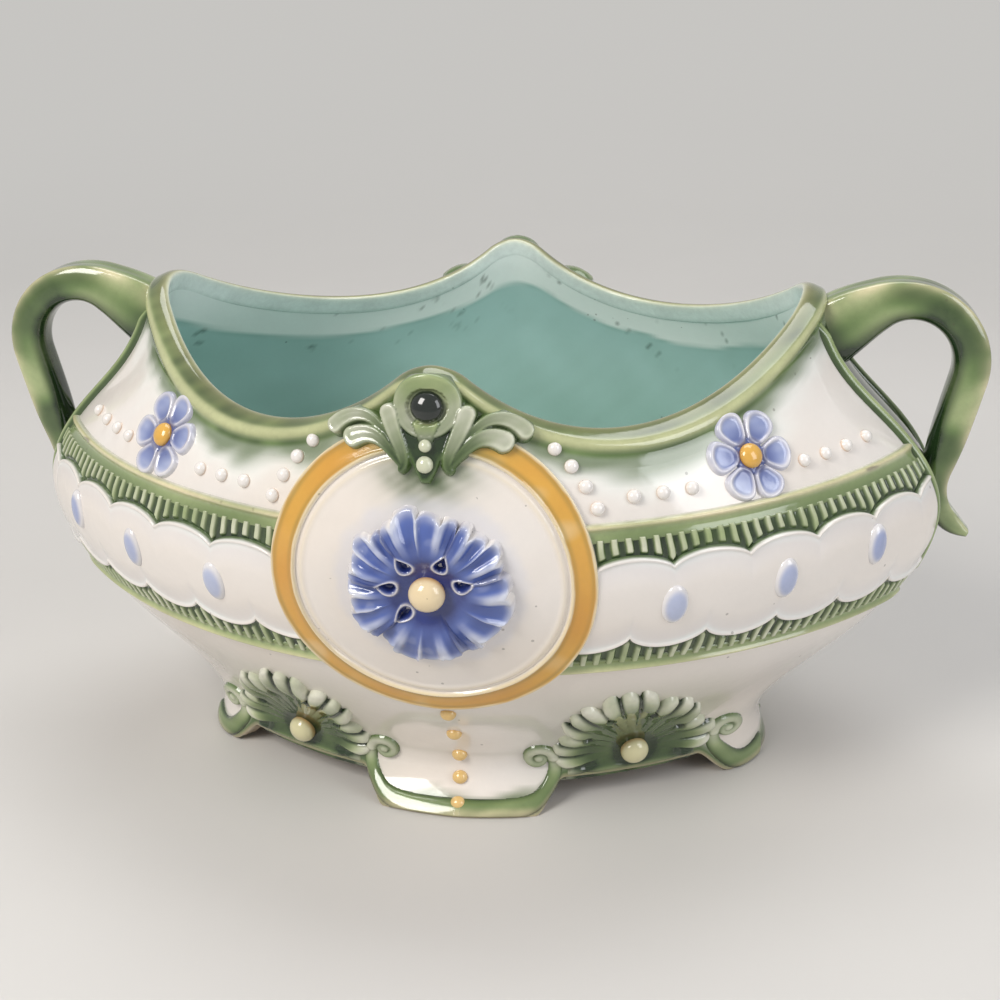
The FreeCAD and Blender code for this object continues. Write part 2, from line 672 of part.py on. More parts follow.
def make_reeds(form, outline):
    """Upright reeds between each fillet and the lobes beside it."""
    gap = 2 * size["clearance"]
    pitch, width, relief = size["reed_pitch"], size["reed_width"], size["reed_relief"]
    ring = size["medallion_radius"] + gap + width
    border = size["border_offset"] + size["border_width"] + gap + width
    lower_top = size["lower_fillet_level"] + size["lower_fillet_height"]
    reeds = []
    for upper in (True, False):
        path, walked = walk(form, size["upper_fillet_level"] if upper else lower_top)
        for number in range(int(walked[-1] / pitch)):
            here, run = along(path, walked, number * pitch)
            if here.x < outline.Shape.BoundBox.XMin or -here.y < border:
                continue
            lobe = lobe_level(outline, here.x, width, upper)
            low = lobe + gap if upper else lower_top + gap
            high = size["upper_fillet_level"] - gap if upper else lobe - gap
            nearest = min(abs(low - size["medallion_level"]), abs(high - size["medallion_level"]))
            if math.hypot(here.x, nearest) < ring or high - low < width:
                continue
            foot, head = spot(form, here.x, low)[0], spot(form, here.x, high)[0]
            axis = (head - foot).normalize()
            out = axis.cross(run).normalize()
            if out.y > 0:
                out = out.negative()
            across = out.cross(axis)
            swell = size["seat"] + (high - low) ** 2 / (2 * size["belly_half_depth"])
            corner = foot + out * swell - across * (width / 2)
            base = Part.makePolygon([
                corner,
                corner + across * width,
                corner + across * (width * 0.75) + out * relief,
                corner + across * (width * 0.25) + out * relief,
                corner,
            ])
            reeds.append(Part.Face(base).extrude(head - foot))
    feature = doc.addObject("Part::Feature", "reed_rows")
    feature.Shape = Part.makeCompound(reeds)
    keep_quarters(feature, "reeds")


def make_borders(shells):
    box = slab(
        "border_zone",
        ("0", "-Sizes.border_offset - Sizes.border_width", "Sizes.lower_fillet_level"),
        (f"{REACH}", "Sizes.border_width", "Sizes.border_top - Sizes.lower_fillet_level"),
    )
    keep_quarters(boolean("Common", "border_piece", shells["band"], box), "border_ridge")


def make_medallion(forms, shells):
    """Disc and ring that wrap round the front, and the cornflower with its pearl."""
    outer = rod("ring_outer", "Sizes.medallion_radius")
    inner = rod("ring_inner", "Sizes.medallion_radius - Sizes.ring_width")
    core = rod("disc_edge", "Sizes.medallion_radius - Sizes.ring_width")
    tube = boolean("Cut", "ring_tube", outer, inner)
    ring = boolean("Common", "ring_piece", shells["sprig"], tube)
    disc = boolean("Common", "disc_piece", shells["disc"], core)
    keep_front_and_back(disc, "medallion_disc")
    keep_front_and_back(ring, "medallion_ring")
    level = size["medallion_level"]
    lobes = petals("cornflower_line", CORNFLOWER_PETALS, size["cornflower_radius"],
                   size["cornflower_notch"], V(0, 0, level), V(1, 0, 0))
    tool = prism("cornflower_tool", lobes, FRONT)
    shell = boolean("Cut", "cornflower_shell", forms["high"], forms["disc_seat"])
    keep_front_and_back(boolean("Common", "cornflower_piece", shell, tool), "cornflower")
    pearl = dome("cornflower_pearl_dome", forms["high"], 0, level, "Sizes.cornflower_pearl_radius")
    keep_front_and_back(pearl, "cornflower_pearl")
    return disc, ring


def petals(name, count, radius, notch, centre, across, upwards=UP):
    """Flower outline: an arc for each petal between two notches, in the plane of two directions."""
    def at(share, reach):
        angle = 2 * math.pi * share / count
        return centre + across * (reach * math.cos(angle)) + upwards * (reach * math.sin(angle))
    steps = [(at(n + 0.5, radius), at(n + 1, radius - notch)) for n in range(count)]
    return face_of(name, at(0, radius - notch), steps)


def facing(form, across, level):
    """Point of the front, the level direction along it and the level direction out of it."""
    point, normal = spot(form, across, level)
    out = V(normal.x, normal.y, 0).normalize()
    return point, UP.cross(out), out


def make_flowers(forms, shells):
    """Forget-me-nots that lean with the neck, and the gaps that the mouldings leave for them."""
    point, out = spot(forms["bowl"], size["flower_offset"], size["flower_level"])
    run = UP.cross(out).normalize()
    lean = out.cross(run)
    start = point - out * REACH / 4
    outline = petals("flower_line", FLOWER_PETALS, size["flower_radius"], size["flower_notch"],
                     start, run, lean)
    tool = prism("flower_tool", outline, out)
    keep_quarters(boolean("Common", "flower_piece", shells["sprig"], tool), "forget_me_not")
    wide = petals("flower_gap_line", FLOWER_PETALS, size["flower_radius"] + size["clearance"],
                  size["flower_notch"], start, run, lean)
    gaps = four_quarters(prism("flower_gap", wide, out), "flower_gap")
    centre = dome("flower_centre_dome", forms["sprig"], size["flower_offset"], size["flower_level"],
                  "Sizes.flower_centre_radius")
    keep_quarters(centre, "forget_me_not_centre")
    return gaps


def make_palmettes(forms, shells):
    """Fan of leaves over each arch, with a pearl at its root."""
    foot, height = size["palmette_level"], size["palmette_height"]
    half_width = size["palmette_half_width"]
    point, run, out = facing(forms["bowl"], size["palmette_offset"], foot + height / 3)
    root = V(point.x, point.y, foot + 2) - out * REACH / 4

    def at(share, reach):
        angle = math.pi * (0.06 + 0.88 * share)
        wide = half_width * math.cos(angle)
        return root + run * (wide * reach) + UP * ((height - 2) * math.sin(angle) * reach)
    notch = size["palmette_notch"]
    leaves = PALMETTE_LEAVES
    steps = []
    for n in range(leaves):
        steps.append((at((n + 0.2) / leaves, 0.5 + notch / 2), at((n + 0.5) / leaves, 1)))
        steps.append((at((n + 0.8) / leaves, 0.5 + notch / 2), at((n + 1) / leaves, notch)))
    steps.append((root - run * (half_width * 0.5) - UP * 2,))
    steps.append((root + run * (half_width * 0.5) - UP * 2,))
    steps.append((at(0, notch),))
    tool = prism("palmette_tool", face_of("palmette_line", at(0, notch), steps), out)
    keep_quarters(boolean("Common", "palmette_piece", shells["sprig"], tool), "palmette")
    pearl = dome("palmette_pearl_dome", forms["sprig"], size["palmette_offset"],
                 size["palmette_pearl_level"], "Sizes.palmette_pearl_radius")
    keep(group("palmette_pearl_group", list(four_quarters(pearl, "palmette_pearl").values())),
         "palmette_pearls")


def make_scrolls(forms, shells):
    """C-scrolls where the feet's borders curl up, one on each flank of the feet."""
    scrolls = []
    radius = size["scroll_radius"]
    for name, turn in (("front_scroll", -1), ("end_scroll", 1)):
        point, run, out = facing(forms["bowl"], size[f"{name}_offset"], size["scroll_level"])
        hub = point - out * REACH / 4

        def at(angle, reach):
            angle = math.radians(angle)
            return hub + run * (turn * reach * math.cos(angle)) + UP * (reach * math.sin(angle))
        steps = [
            (at(90, radius), at(220, radius)),
            (at(220, radius * 0.55),),
            (at(90, radius * 0.4), at(-60, radius * 0.5)),
            (at(-60, radius),),
        ]
        tool = prism(f"{name}_tool", face_of(f"{name}_line", at(-60, radius), steps), out)
        piece = boolean("Common", f"{name}_piece", shells["sprig"], tool)
        scrolls += four_quarters(piece, name).values()
    keep(group("scroll_group", scrolls), "foot_scrolls")


def make_crest(forms, shells, lip, below):
    """Fleuron under the front peak, over the rim moulding and the medallion, with two jewels."""
    foot, wide, peak = size["crest_foot"], size["crest_half_width"], size["peak_level"]
    span = peak - foot

    def at(share_x, share_z):
        return V(share_x * wide, 0, foot + share_z * span)
    half = [
        (at(0.27, 1.0), at(0.33, 0.72)),
        (at(0.39, 0.57),),
        (at(0.52, 0.65), at(0.66, 0.54)),
        (at(0.87, 0.62), at(1.0, 0.46)),
        (at(0.93, 0.36), at(0.78, 0.40)),
        (at(0.47, 0.38), at(0.29, 0.09)),
        (at(0.16, 0.01), at(0, 0)),
    ]
    top = at(0, 1.1)
    corners = [top] + [step[-1] for step in half]
    other = []
    for before, step in zip(reversed(corners[:-1]), reversed(half)):
        other.append(tuple(V(-p.x, 0, p.z) for p in (*step[:-1], before)))
    tool = prism("crest_tool", face_of("crest_line", top, half + other), FRONT)
    crest = boolean("Common", "crest_blank", shells["high"], tool)
    for number, under in enumerate((lip, *below), start=1):
        crest = boolean("Cut", f"crest_cut_{number}", crest, under)
    keep_front_and_back(crest, "crest")
    jewels = [
        dome("jewel_dome", forms["high"], 0, peak - size["jewel_drop"], "Sizes.jewel_radius"),
        dome("crest_bead_dome", forms["high"], 0, foot + size["crest_bead_rise"], "Sizes.crest_bead_radius"),
    ]
    keep_front_and_back(group("crest_jewel_group", jewels), "crest_jewels")


def make_beads(form):
    """Neck pearls round the medallion and along the neck, and the chain down to the foot."""
    places = []
    ring = size["medallion_radius"] + size["pearl_stand"]
    for number in range(RING_PEARLS):
        angle = math.radians(size["pearl_top_angle"] - number * size["pearl_angle_step"])
        places.append((ring * math.cos(angle), size["medallion_level"] + ring * math.sin(angle)))
    for number in range(ROW_PEARLS):
        places.append((size["pearl_row_start"] + number * size["pearl_row_step"], size["pearl_row_level"]))
    for number in range(END_PEARLS):
        places.append((size["pearl_end_start"] + number * size["pearl_end_step"], size["pearl_row_level"]))
    pearls = [dome(f"pearl_{n}", form, x, z, "Sizes.pearl_radius") for n, (x, z) in enumerate(places)]
    keep_quarters(group("pearl_group", pearls), "neck_pearls")
    top, bottom = size["bead_top"], size["bead_bottom"]
    step = (top - bottom) / (CHAIN_BEADS - 1)
    chain = [dome(f"bead_{n}", form, 0, top - n * step, "Sizes.bead_radius") for n in range(CHAIN_BEADS)]
    keep_front_and_back(group("chain_group", chain), "chain_beads")


def make_cabochons(form, band_form):
    """Oval beads on the scalloped band, one and a half lobes apart."""
    points, ways = walk(form, size["cabochon_level"])
    first = way_at(points, ways, size["scallop_first"])
    cabochons = []
    for number in range(CABOCHONS):
        here = along(points, ways, first + number * 1.5 * size["scallop_pitch"])[0]
        point, normal = spot(band_form, here.x, size["cabochon_level"])
        oval = doc.addObject("Part::Ellipsoid", f"cabochon_{number}")
        oval.setExpression("Radius1", "Sizes.cabochon_rise")
        oval.setExpression("Radius2", "Sizes.cabochon_width / 2")
        oval.setExpression("Radius3", "Sizes.cabochon_height / 2")
        oval.Angle1 = 0
        oval.Placement = FreeCAD.Placement(point + normal * size["seat"], upright(normal))
        cabochons.append(oval)
    keep_quarters(group("cabochon_group", cabochons), "cabochons")


def check_and_write():
    """Stops at any failed object or broken shape, then writes one file for each node."""
    doc.recompute()
    for item in doc.Objects:
        if "Invalid" in item.State or "Error" in item.State:
            raise RuntimeError(f"{item.Label} failed: {item.State}")
    for node in nodes:
        if node.Shape.isNull() or not node.Shape.isValid() or not node.Shape.Solids:
            raise RuntimeError(f"{node.Label} has no sound solid")
    os.makedirs("parts", exist_ok=True)
    for node in nodes:
        node.Shape.exportStep(f"parts/{node.Label}.step")
        print(node.Label, len(node.Shape.Solids), round(node.Shape.Volume, 1))


fill_sheet()
forms = make_forms()
shells = {}
for relief in ("disc", "band", "sprig", "high"):
    shells[relief] = boolean("Cut", f"{relief}_shell", forms[relief], forms["seat"])
doc.recompute()
lip = make_bowl(forms["bowl"])
flower_gaps = make_flowers(forms, shells)
rim = make_rim_moulding(shells, lip, flower_gaps)
make_handle(forms["seat"], rim)
clear = rod("medallion_clearance", "Sizes.medallion_radius + Sizes.clearance")
make_fillets(shells, clear, flower_gaps["front_right"])
scallops = make_scallops(forms["bowl"], shells, clear)
make_reeds(forms["bowl"], scallops)
make_borders(shells)
disc, ring = make_medallion(forms, shells)
make_cabochons(forms["bowl"], forms["band"])
make_beads(forms["bowl"])
make_palmettes(forms, shells)
make_scrolls(forms, shells)
make_crest(forms, shells, lip, (rim, disc, ring))
check_and_write()
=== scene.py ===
"""Looks of a majolica jardiniere, built round its packed construction."""

import math

import bpy
import numpy as np
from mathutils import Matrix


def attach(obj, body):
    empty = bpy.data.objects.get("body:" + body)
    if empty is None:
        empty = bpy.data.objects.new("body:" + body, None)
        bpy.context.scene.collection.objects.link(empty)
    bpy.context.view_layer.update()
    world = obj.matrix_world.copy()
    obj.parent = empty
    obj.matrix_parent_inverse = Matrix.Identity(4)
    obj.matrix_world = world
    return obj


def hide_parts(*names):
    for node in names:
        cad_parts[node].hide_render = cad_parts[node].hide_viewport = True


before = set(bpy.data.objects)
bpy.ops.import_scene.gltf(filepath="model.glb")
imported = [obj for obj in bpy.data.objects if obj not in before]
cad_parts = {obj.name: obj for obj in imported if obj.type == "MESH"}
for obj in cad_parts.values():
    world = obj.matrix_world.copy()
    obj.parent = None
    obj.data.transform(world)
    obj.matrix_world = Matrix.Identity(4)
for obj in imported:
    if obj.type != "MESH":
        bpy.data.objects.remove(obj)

bl_info = {
    "name": "Majolica jardiniere",
    "version": (1, 0, 0),
    "blender": (4, 5, 0),
    "location": "View3D > Sidebar > Jardiniere",
    "description": "Builds the glazed relief of a table jardiniere",
    "category": "Object",
}

# Metres in a millimetre, which is the unit of the sizes from here to the stage.
MM = 0.001

# Signs of x and y in each quarter, and of y on each face.
QUARTERS = {"front_right": (1, -1), "front_left": (-1, -1), "back_right": (1, 1), "back_left": (-1, 1)}
FACES = {"front": -1, "back": 1}

# Plan sections from the table upwards: level, half length, half depth and the side arc's factor.
STATIONS = np.array([
    (0, 83, 56, 1.10),
    (11, 80.5, 48, 1.10),
    (25, 88.5, 54.5, 1.10),
    (44, 109, 68, 1.08),
    (64, 122, 77.5, 1.06),
    (79, 124.5, 81.5, 1.06),
    (96, 115.5, 82, 1.10),
    (110, 102.5, 78.5, 1.20),
    (122, 94.5, 74.5, 1.35),
    (137, 89.5, 71.5, 1.45),
])
END_RADIUS = 30.0
FACE_RADIUS = 18.0

# Foot: an arch's rise, the distances over which it rises beside each foot, the rim's width and rounding.
ARCH_RISE = 7.8
INNER_FOOT = (20.5, 29.0)
OUTER_FOOT = (72.5, 64.0)
FOOT_RIM = 6.0
FOOT_ROUND = 0.35

# Rim moulding: relief, drop below the lip, shares of olive, pale ridge, green and celadon, and pooling.
RIM_PROFILE = np.array([
    (-4.30, 5.3, 0.0, 0.0, 0.0, 1.0, 0.0),
    (-4.42, 4.7, 0.0, 0.0, 0.0, 1.0, 0.0),
    (-4.48, 4.1, 0.0, 0.0, 0.0, 1.0, 0.0),
    (-4.53, 3.2, 0.0, 0.0, 0.0, 1.0, 0.0),
    (-4.58, 1.0, 0.0, 0.15, 0.0, 0.85, 0.0),
    (-4.1, 0.05, 0.15, 0.55, 0.0, 0.3, 0.0),
    (-3.0, -0.3, 0.7, 0.25, 0.05, 0.0, 0.20),
    (-1.6, -0.2, 0.7, 0.0, 0.3, 0.0, 0.35),
    (-0.4, 0.3, 0.5, 0.0, 0.5, 0.0, 0.50),
    (0.45, 0.75, 0.3, 0.1, 0.6, 0.0, 0.45),
    (1.05, 1.2, 0.15, 0.6, 0.25, 0.0, 0.10),
    (1.4, 2.0, 0.1, 0.75, 0.15, 0.0, 0.0),
    (1.3, 2.9, 0.1, 0.6, 0.3, 0.0, 0.05),
    (0.8, 3.8, 0.0, 0.2, 0.8, 0.0, 0.35),
    (0.4, 4.6, 0.0, 0.0, 1.0, 0.0, 0.55),
    (0.18, 5.6, 0.0, 0.0, 0.9, 0.1, 0.40),
    (0.08, 6.6, 0.0, 0.0, 0.55, 0.45, 0.15),
    (0.0, 7.5, 0.0, 0.0, 0.4, 0.6, 0.0),
    (-0.15, 8.4, 0.0, 0.0, 0.3, 0.7, 0.0),
    (-0.7, 8.8, 0.0, 0.0, 0.3, 0.7, 0.0),
    (-2.0, 7.6, 0.0, 0.0, 0.3, 0.7, 0.0),
    (-2.6, 5.6, 0.0, 0.0, 0.2, 0.8, 0.0),
    (-3.8, 5.7, 0.0, 0.0, 0.0, 1.0, 0.0),
])

# Handles in their upright plane: the bow's middle and rise from the neck, and the root from its start.
BOW_MIDDLE = np.array([113.2, 114.4])
BOW_RISE = math.radians(24)
HANDLE_ROOT = np.array([-16.0, -10.5])

# Lean and length of a handle's leg, and for each handle its side and its tail's bend and tip.
LEG_LEAN = math.radians(13)
LEG_LENGTH = 25.0
HANDLE_TAILS = {
    "right": (1.0, (124.6, 71.0), (133.6, 66.9)),
    "left": (-1.0, (123.2, 71.0), (124.2, 63.5)),
}

# Bands: the level where lengths are taken, the first upper cusp's x, and the y where they stop.
GIRTH_LEVEL = 75.0
FIRST_CUSP = 56.5
BAND_END = 11.3

# Levels of cusps, fillets, reeds and border ridges, and heights of lobes.
UPPER_CUSPS = 83.8
UPPER_LOBE = 3.0
LOWER_CUSPS = 64.4
LOWER_LOBE = 4.0
UPPER_FILLET = (90.2, 95.8)
LOWER_FILLET = (53.0, 57.2)
UPPER_REEDS_TOP = 91.4
LOWER_REEDS_FOOT = 56.0
BORDER_FOOT = 56.5
BORDER_TOP = 130.0

# Sprigs: distances from the middle and levels.
PEARL_ARC = 43.0
PEARL_ARC_DEGREES = (48.5, 41.0, 33.4, 25.8)
NECK_PEARLS = [(46.8 + 6.6 * n, 100.5) for n in range(3)] + [(86.5 + 5.4 * n, 100.8) for n in range(4)]
CHAIN_LEVELS = (36.0, 26.0, 15.5, 8.6, 3.0)
FIRST_CABOCHON_LEVEL = 73.4
CABOCHON_CLIMB = 1.6
FLOWER_PLACE = (73.0, 104.6)
PALMETTE_PLACE = (46.0, 14.6)
VOLUTE_LEVEL = 14.6
JEWEL_LEVEL = 122.5
PENDANT_LEVEL = 113.9
DROP_LEVEL = 109.9

# Cornflower: the angles of the seams between its petals, and the distances of the pits on five of them.
PETAL_SEAMS = np.radians([17, 65, 126, 172, 225, 296])
PIT_DISTANCES = (8.7, 8.4, 8.6, 9.3, 8.2)

# Foot scrolls: both ends and columns of the grid, the volute's middle and turn, and the border's points.
FOOT_SCROLLS = [
    ((-0.8, 28.5, 116), 21.0, 1, [(-3, 1.5), (9, 1.6), (17, 2.1), (22.2, 4.2), (25.2, 9.2), (24.9, 14.6)]),
    ((63.0, 80.3, 86), 71.0, -1,
     [(79.9, 2.2), (77.2, 2.0), (73.4, 3.2), (69.6, 7.0), (67.4, 10.6), (67.1, 14.6)]),
]

# Crest leaves: the points that bend each one, its half widths at root and tip, its steps and its lift.
CREST_LEAVES = [
    ([(5.4, 108.6), (3.2, 110.6), (6.8, 114.5), (8.3, 120.4)], (1.1, 2.6), 18, 1.3),
    ([(4.8, 110.8), (9.6, 114.6), (10.6, 121.6), (17.6, 120.6), (21.6, 116.2)], (1.0, 2.2), 24, 1.2),
    ([(5.2, 109.4), (9.0, 113.4), (11.6, 117.2), (17.0, 114.2)], (1.1, 2.7), 20, 1.2),
]
COLLAR_RADIUS = 5.3

# Glazes: the colour that pools in hollows and that painted shade darkens to, and the strengths of the
# mottling and of the specks.
GLAZES = {
    "white_glaze": ("deep", 0.10, 0.4),
    "green_glaze": ("deep", 0.75, 0.25),
    "blue_glaze": ("navy", 0.30, 0.15),
    "ochre_glaze": ("olive", 0.22, 0.35),
    "yellow_glaze": ("ochre", 0.20, 0.2),
    "cream_glaze": ("ochre", 0.10, 0.3),
    "dark_glaze": ("jewel", 0.30, 0.0),
}
SPECK_COLOUR = (0.055, 0.038, 0.024, 1.0)

# Stage in metres: plain colours, the floor's sweep as depth and level, and where its colour fades.
BACKDROP = (0.57, 0.56, 0.54)
FLOOR_COLOUR = np.array([0.62, 0.60, 0.57])
FLOOR_HALF_WIDTH = 1.6
FLOOR_SWEEP = [(-1.2, 0.0), (0.55, 0.0), (0.7, 0.012), (0.85, 0.06), (0.95, 0.15), (1.0, 0.3), (1.0, 1.6)]
FLOOR_FADE = (0.35, 1.0)
SKY_COLOUR = (0.86, 0.9, 1.0)
SKY_STRENGTH = 0.32

# Lights: the point that they face, and the place, size, power and colour of each.
LIGHT_TARGET = np.array([0.0, 0.0, 0.07])
LIGHTS = {
    "Window": ((-0.55, -0.75, 0.85), (0.45, 0.6), 11.0, (1.0, 0.97, 0.93)),
    "Fill": ((0.95, -0.45, 0.55), (0.5, 0.8), 5.0, (0.95, 0.97, 1.0)),
    "Top": ((0.05, 0.35, 1.05), (0.9, 0.5), 5.0, (1.0, 1.0, 1.0)),
}

# Camera: its place, its turns in radians, its sensor and lens in millimetres, and the upward direction.
CAMERA_PLACE = (0.0662268, -0.3975992, 0.2301408)
CAMERA_YAW = -0.1538
CAMERA_PITCH = -0.3781
CAMERA_ROLL = -0.016
CAMERA_SENSOR = 36.0
CAMERA_LENS = 1.5164 * CAMERA_SENSOR
UPRIGHT = np.array([0.0, 0.0, 1.0])


def size_property(text, value, low=0.0, high=0.5):
    """A length in metres."""
    return bpy.props.FloatProperty(name=text, description=text, default=value, min=low, max=high,
                                   subtype="DISTANCE", unit="LENGTH")


def linear_of(value):
    """Linear light of eight-bit display values."""
    share = np.asarray(value, float) / 255.0
    return np.where(share <= 0.04045, share / 12.92, ((share + 0.055) / 1.055) ** 2.4)


def colour_property(text, value):
    """A colour, given as eight-bit display values and kept as linear ones."""
    linear = tuple(float(v) for v in linear_of(value))
    return bpy.props.FloatVectorProperty(name=text, description=text, default=linear, size=3, min=0.0,
                                         max=1.0, subtype="COLOR")


class JardiniereSizes(bpy.types.PropertyGroup):
    """Sizes that the relief is drawn from."""

    wall: size_property("Thickness of the wall", 0.0045)
    floor_level: size_property("Inside floor above the table", 0.015)
    hollow_level: size_property("Underside of the floor above the table", 0.010)
    peak_level: size_property("Lip at the front and back peaks", 0.1305)
    dip_level: size_property("Lowest level of the lip", 0.114)
    dip_offset: size_property("Distance of a dip from the middle", 0.046)
    peak_radius: size_property("Radius of the lip over a peak", 0.014)
    medallion_level: size_property("Middle of the medallion", 0.080)
    medallion_radius: size_property("Outer radius of the medallion", 0.039)
    ring_width: size_property("Width of the medallion's ring", 0.006)
    cornflower_radius: size_property("Radius of the cornflower", 0.0215)
    flower_radius: size_property("Radius of a forget-me-not", 0.0122)
    pearl_radius: size_property("Radius of a neck pearl", 0.0017)
    scallop_pitch: size_property("Length of a lobe along the girth", 0.020)
    reed_pitch: size_property("Spacing of the reeds", 0.0034)
    handle_bow: size_property("Radius of a handle's bow", 0.0172)
    handle_width: size_property("Width of a handle", 0.0105)


class JardiniereColours(bpy.types.PropertyGroup):
    """Glaze colours."""

    white: colour_property("White glaze", (230, 224, 218))
    ivory: colour_property("Ivory of the medallion and pearls", (228, 216, 202))
    green: colour_property("Middle green", (100, 126, 70))
    leaf: colour_property("Pale green over raised edges", (178, 188, 138))
    # Deep green is what pooled glaze and painted shade both darken to.
    deep: colour_property("Dark pooled green", (30, 50, 24))
    olive: colour_property("Olive of the lip", (112, 108, 60))
    blue: colour_property("Flower blue", (84, 105, 170))
    navy: colour_property("Dark pooled blue", (38, 52, 116))
    pale_blue: colour_property("Thin blue over raised edges", (196, 202, 220))
    ochre: colour_property("Ochre of the ring", (206, 146, 56))
    yellow: colour_property("Yellow of the beads", (222, 178, 84))
    cream: colour_property("Cream of the thin edges", (232, 214, 176))
    turquoise: colour_property("Inside glaze", (172, 206, 200))
    # Celadon is also the inside's pale band at the neck, which is painted light and was made paler than the
    # glaze for it.
    celadon: colour_property("Thin inside glaze at the neck", (238, 246, 240))
    # Teal is painted shade on the inside: it darkens the wall downwards and along the pale band's lower line.
    inside_shade: colour_property("Deep inside glaze", (138, 172, 160))
    jewel: colour_property("Dark jewel", (24, 32, 28))
    biscuit: colour_property("Bare clay", (206, 190, 164))


def mm(name):
    """One of the sizes, in millimetres."""
    return getattr(bpy.context.scene.jardiniere_sizes, name) / MM


def paint(name):
    """One of the colours, as an array."""
    return np.array(getattr(bpy.context.scene.jardiniere_colours, name))


def smooth(low, high, value):
    """Smooth step: 0 up to low, 1 from high on, and the other way round where high is below low."""
    share = np.clip((value - low) / (high - low), 0, 1)
    return share * share * (3 - 2 * share)


def unit(value):
    """A value held between 0 and 1."""
    return np.clip(value, 0, 1)


def blend(first, second, share):
    """Colours or numbers mixed by a share for each point."""
    share = np.asarray(share, float)
    first, second = np.asarray(first, float), np.asarray(second, float)
    if first.ndim and first.shape[-1:] == (3,) or second.ndim and second.shape[-1:] == (3,):
        share = share[..., None]
    return first * (1 - share) + second * share


def coat(colour, name, share):
    """A colour with one of the glaze colours over it, by a share for each point."""
    return blend(colour, paint(name), share)


def drift(points, size, seed=0.0):
    """Slow wander between about -1 and 1: sines of skewed coordinates, summed at three scales."""
    x, y, z = (points[..., n] / size for n in range(3))
    total = np.sin(1.7 * x + 2.3 * z + 1.1 * np.sin(1.3 * y + seed) + seed)
    total = total + 0.6 * np.sin(3.1 * y - 2.9 * x + 1.4 * np.sin(2.2 * z) + 2.1 * seed)
    total = total + 0.4 * np.sin(6.3 * z + 5.1 * y - 4.7 * x + 3.3 * seed)
    return total / 2.0


def wear(points, size, seed):
    """Slow wander between 0 and 1."""
    return 0.5 + 0.5 * drift(points, size, seed)


def white_ground(points, ivory, size, seed):
    """White glaze with a share of ivory in it, which wanders."""
    return coat(paint("white"), "ivory", ivory + 0.3 * drift(points, size, seed))


def spline(knots, values):
    """Natural cubic through values at knots."""
    count = len(knots)
    step = np.diff(knots)
    matrix = np.eye(count)
    right = np.zeros(count)
    for n in range(1, count - 1):
        matrix[n, n - 1:n + 2] = step[n - 1], 2 * (step[n - 1] + step[n]), step[n]
        right[n] = 6 * ((values[n + 1] - values[n]) / step[n] - (values[n] - values[n - 1]) / step[n - 1])
    bend = np.linalg.solve(matrix, right)

    def at(where):
        where = np.asarray(where, float)
        n = np.clip(np.searchsorted(knots, where) - 1, 0, count - 2)
        up, down, gap = knots[n + 1] - where, where - knots[n], step[n]
        cubic = (bend[n] * up**3 + bend[n + 1] * down**3) / (6 * gap)
        first = (values[n] / gap - bend[n] * gap / 6) * up
        second = (values[n + 1] / gap - bend[n + 1] * gap / 6) * down
        return cubic + first + second

    return at


def through(rows, at):
    """Natural cubic through rows of numbers, read at places counted in rows."""
    rows = np.asarray(rows, float)
    knots = np.arange(len(rows), dtype=float)
    return np.stack([spline(knots, column)(at) for column in rows.T], axis=-1)


half_length = spline(STATIONS[:, 0], STATIONS[:, 1])
half_depth = spline(STATIONS[:, 0], STATIONS[:, 2])
point_factor = spline(STATIONS[:, 0], STATIONS[:, 3])


def section(level):
    """The three arcs of a plan section's quarter: centres, side radius and the angles where they join."""
    length, depth = half_length(level), half_depth(level)
    end_x, face_y = length - END_RADIUS, depth - FACE_RADIUS
    side = point_factor(level) * (end_x**2 + depth**2 - END_RADIUS**2) / (2 * (depth - END_RADIUS))
    span = np.hypot(end_x, face_y)
    along = ((side - END_RADIUS)**2 - (side - FACE_RADIUS)**2 + span**2) / (2 * span)
    across = np.sqrt((side - END_RADIUS)**2 - along**2)
    side_x = end_x - (end_x * along + face_y * across) / span
    side_y = (face_y * along - end_x * across) / span
    low = np.arctan2(-side_y, end_x - side_x)
    high = np.arctan2(face_y - side_y, -side_x)
    return end_x, face_y, side, side_x, side_y, low, high


def plan(angle, level):
    """Point of a section's quarter where its outward normal has an angle."""
    end_x, face_y, side, side_x, side_y, low, high = section(level)
    cos, sin = np.cos(angle), np.sin(angle)
    at_end, at_face = angle < low, angle > high
    x = np.where(at_end, end_x + END_RADIUS * cos, np.where(at_face, FACE_RADIUS * cos, side_x + side * cos))
    y = np.where(at_end, END_RADIUS * sin, np.where(at_face, face_y + FACE_RADIUS * sin, side_y + side * sin))
    return x, y


def angle_of_share(share, level):
    """Normal angle at a share of a quarter's length, from the end to the middle of the face."""
    end_x, face_y, side, side_x, side_y, low, high = section(level)
    first, second = END_RADIUS * low, side * (high - low)
    way = share * (first + second + FACE_RADIUS * (math.pi / 2 - high))
    on_side = low + (way - first) / side
    on_face = high + (way - first - second) / FACE_RADIUS
    return np.where(way < first, way / END_RADIUS, np.where(way < first + second, on_side, on_face))


def angle_of_x(x, level):
    """Normal angle where a quarter's section is at a distance from the middle."""
    end_x, face_y, side, side_x, side_y, low, high = section(level)
    at_end = np.arccos(np.clip((x - end_x) / END_RADIUS, -1, 1))
    at_face = np.arccos(np.clip(x / FACE_RADIUS, -1, 1))
    on_side = np.arccos(np.clip((x - side_x) / side, -1, 1))
    return np.where(x > end_x + END_RADIUS * np.cos(low), at_end,
                    np.where(x < FACE_RADIUS * np.cos(high), at_face, on_side))


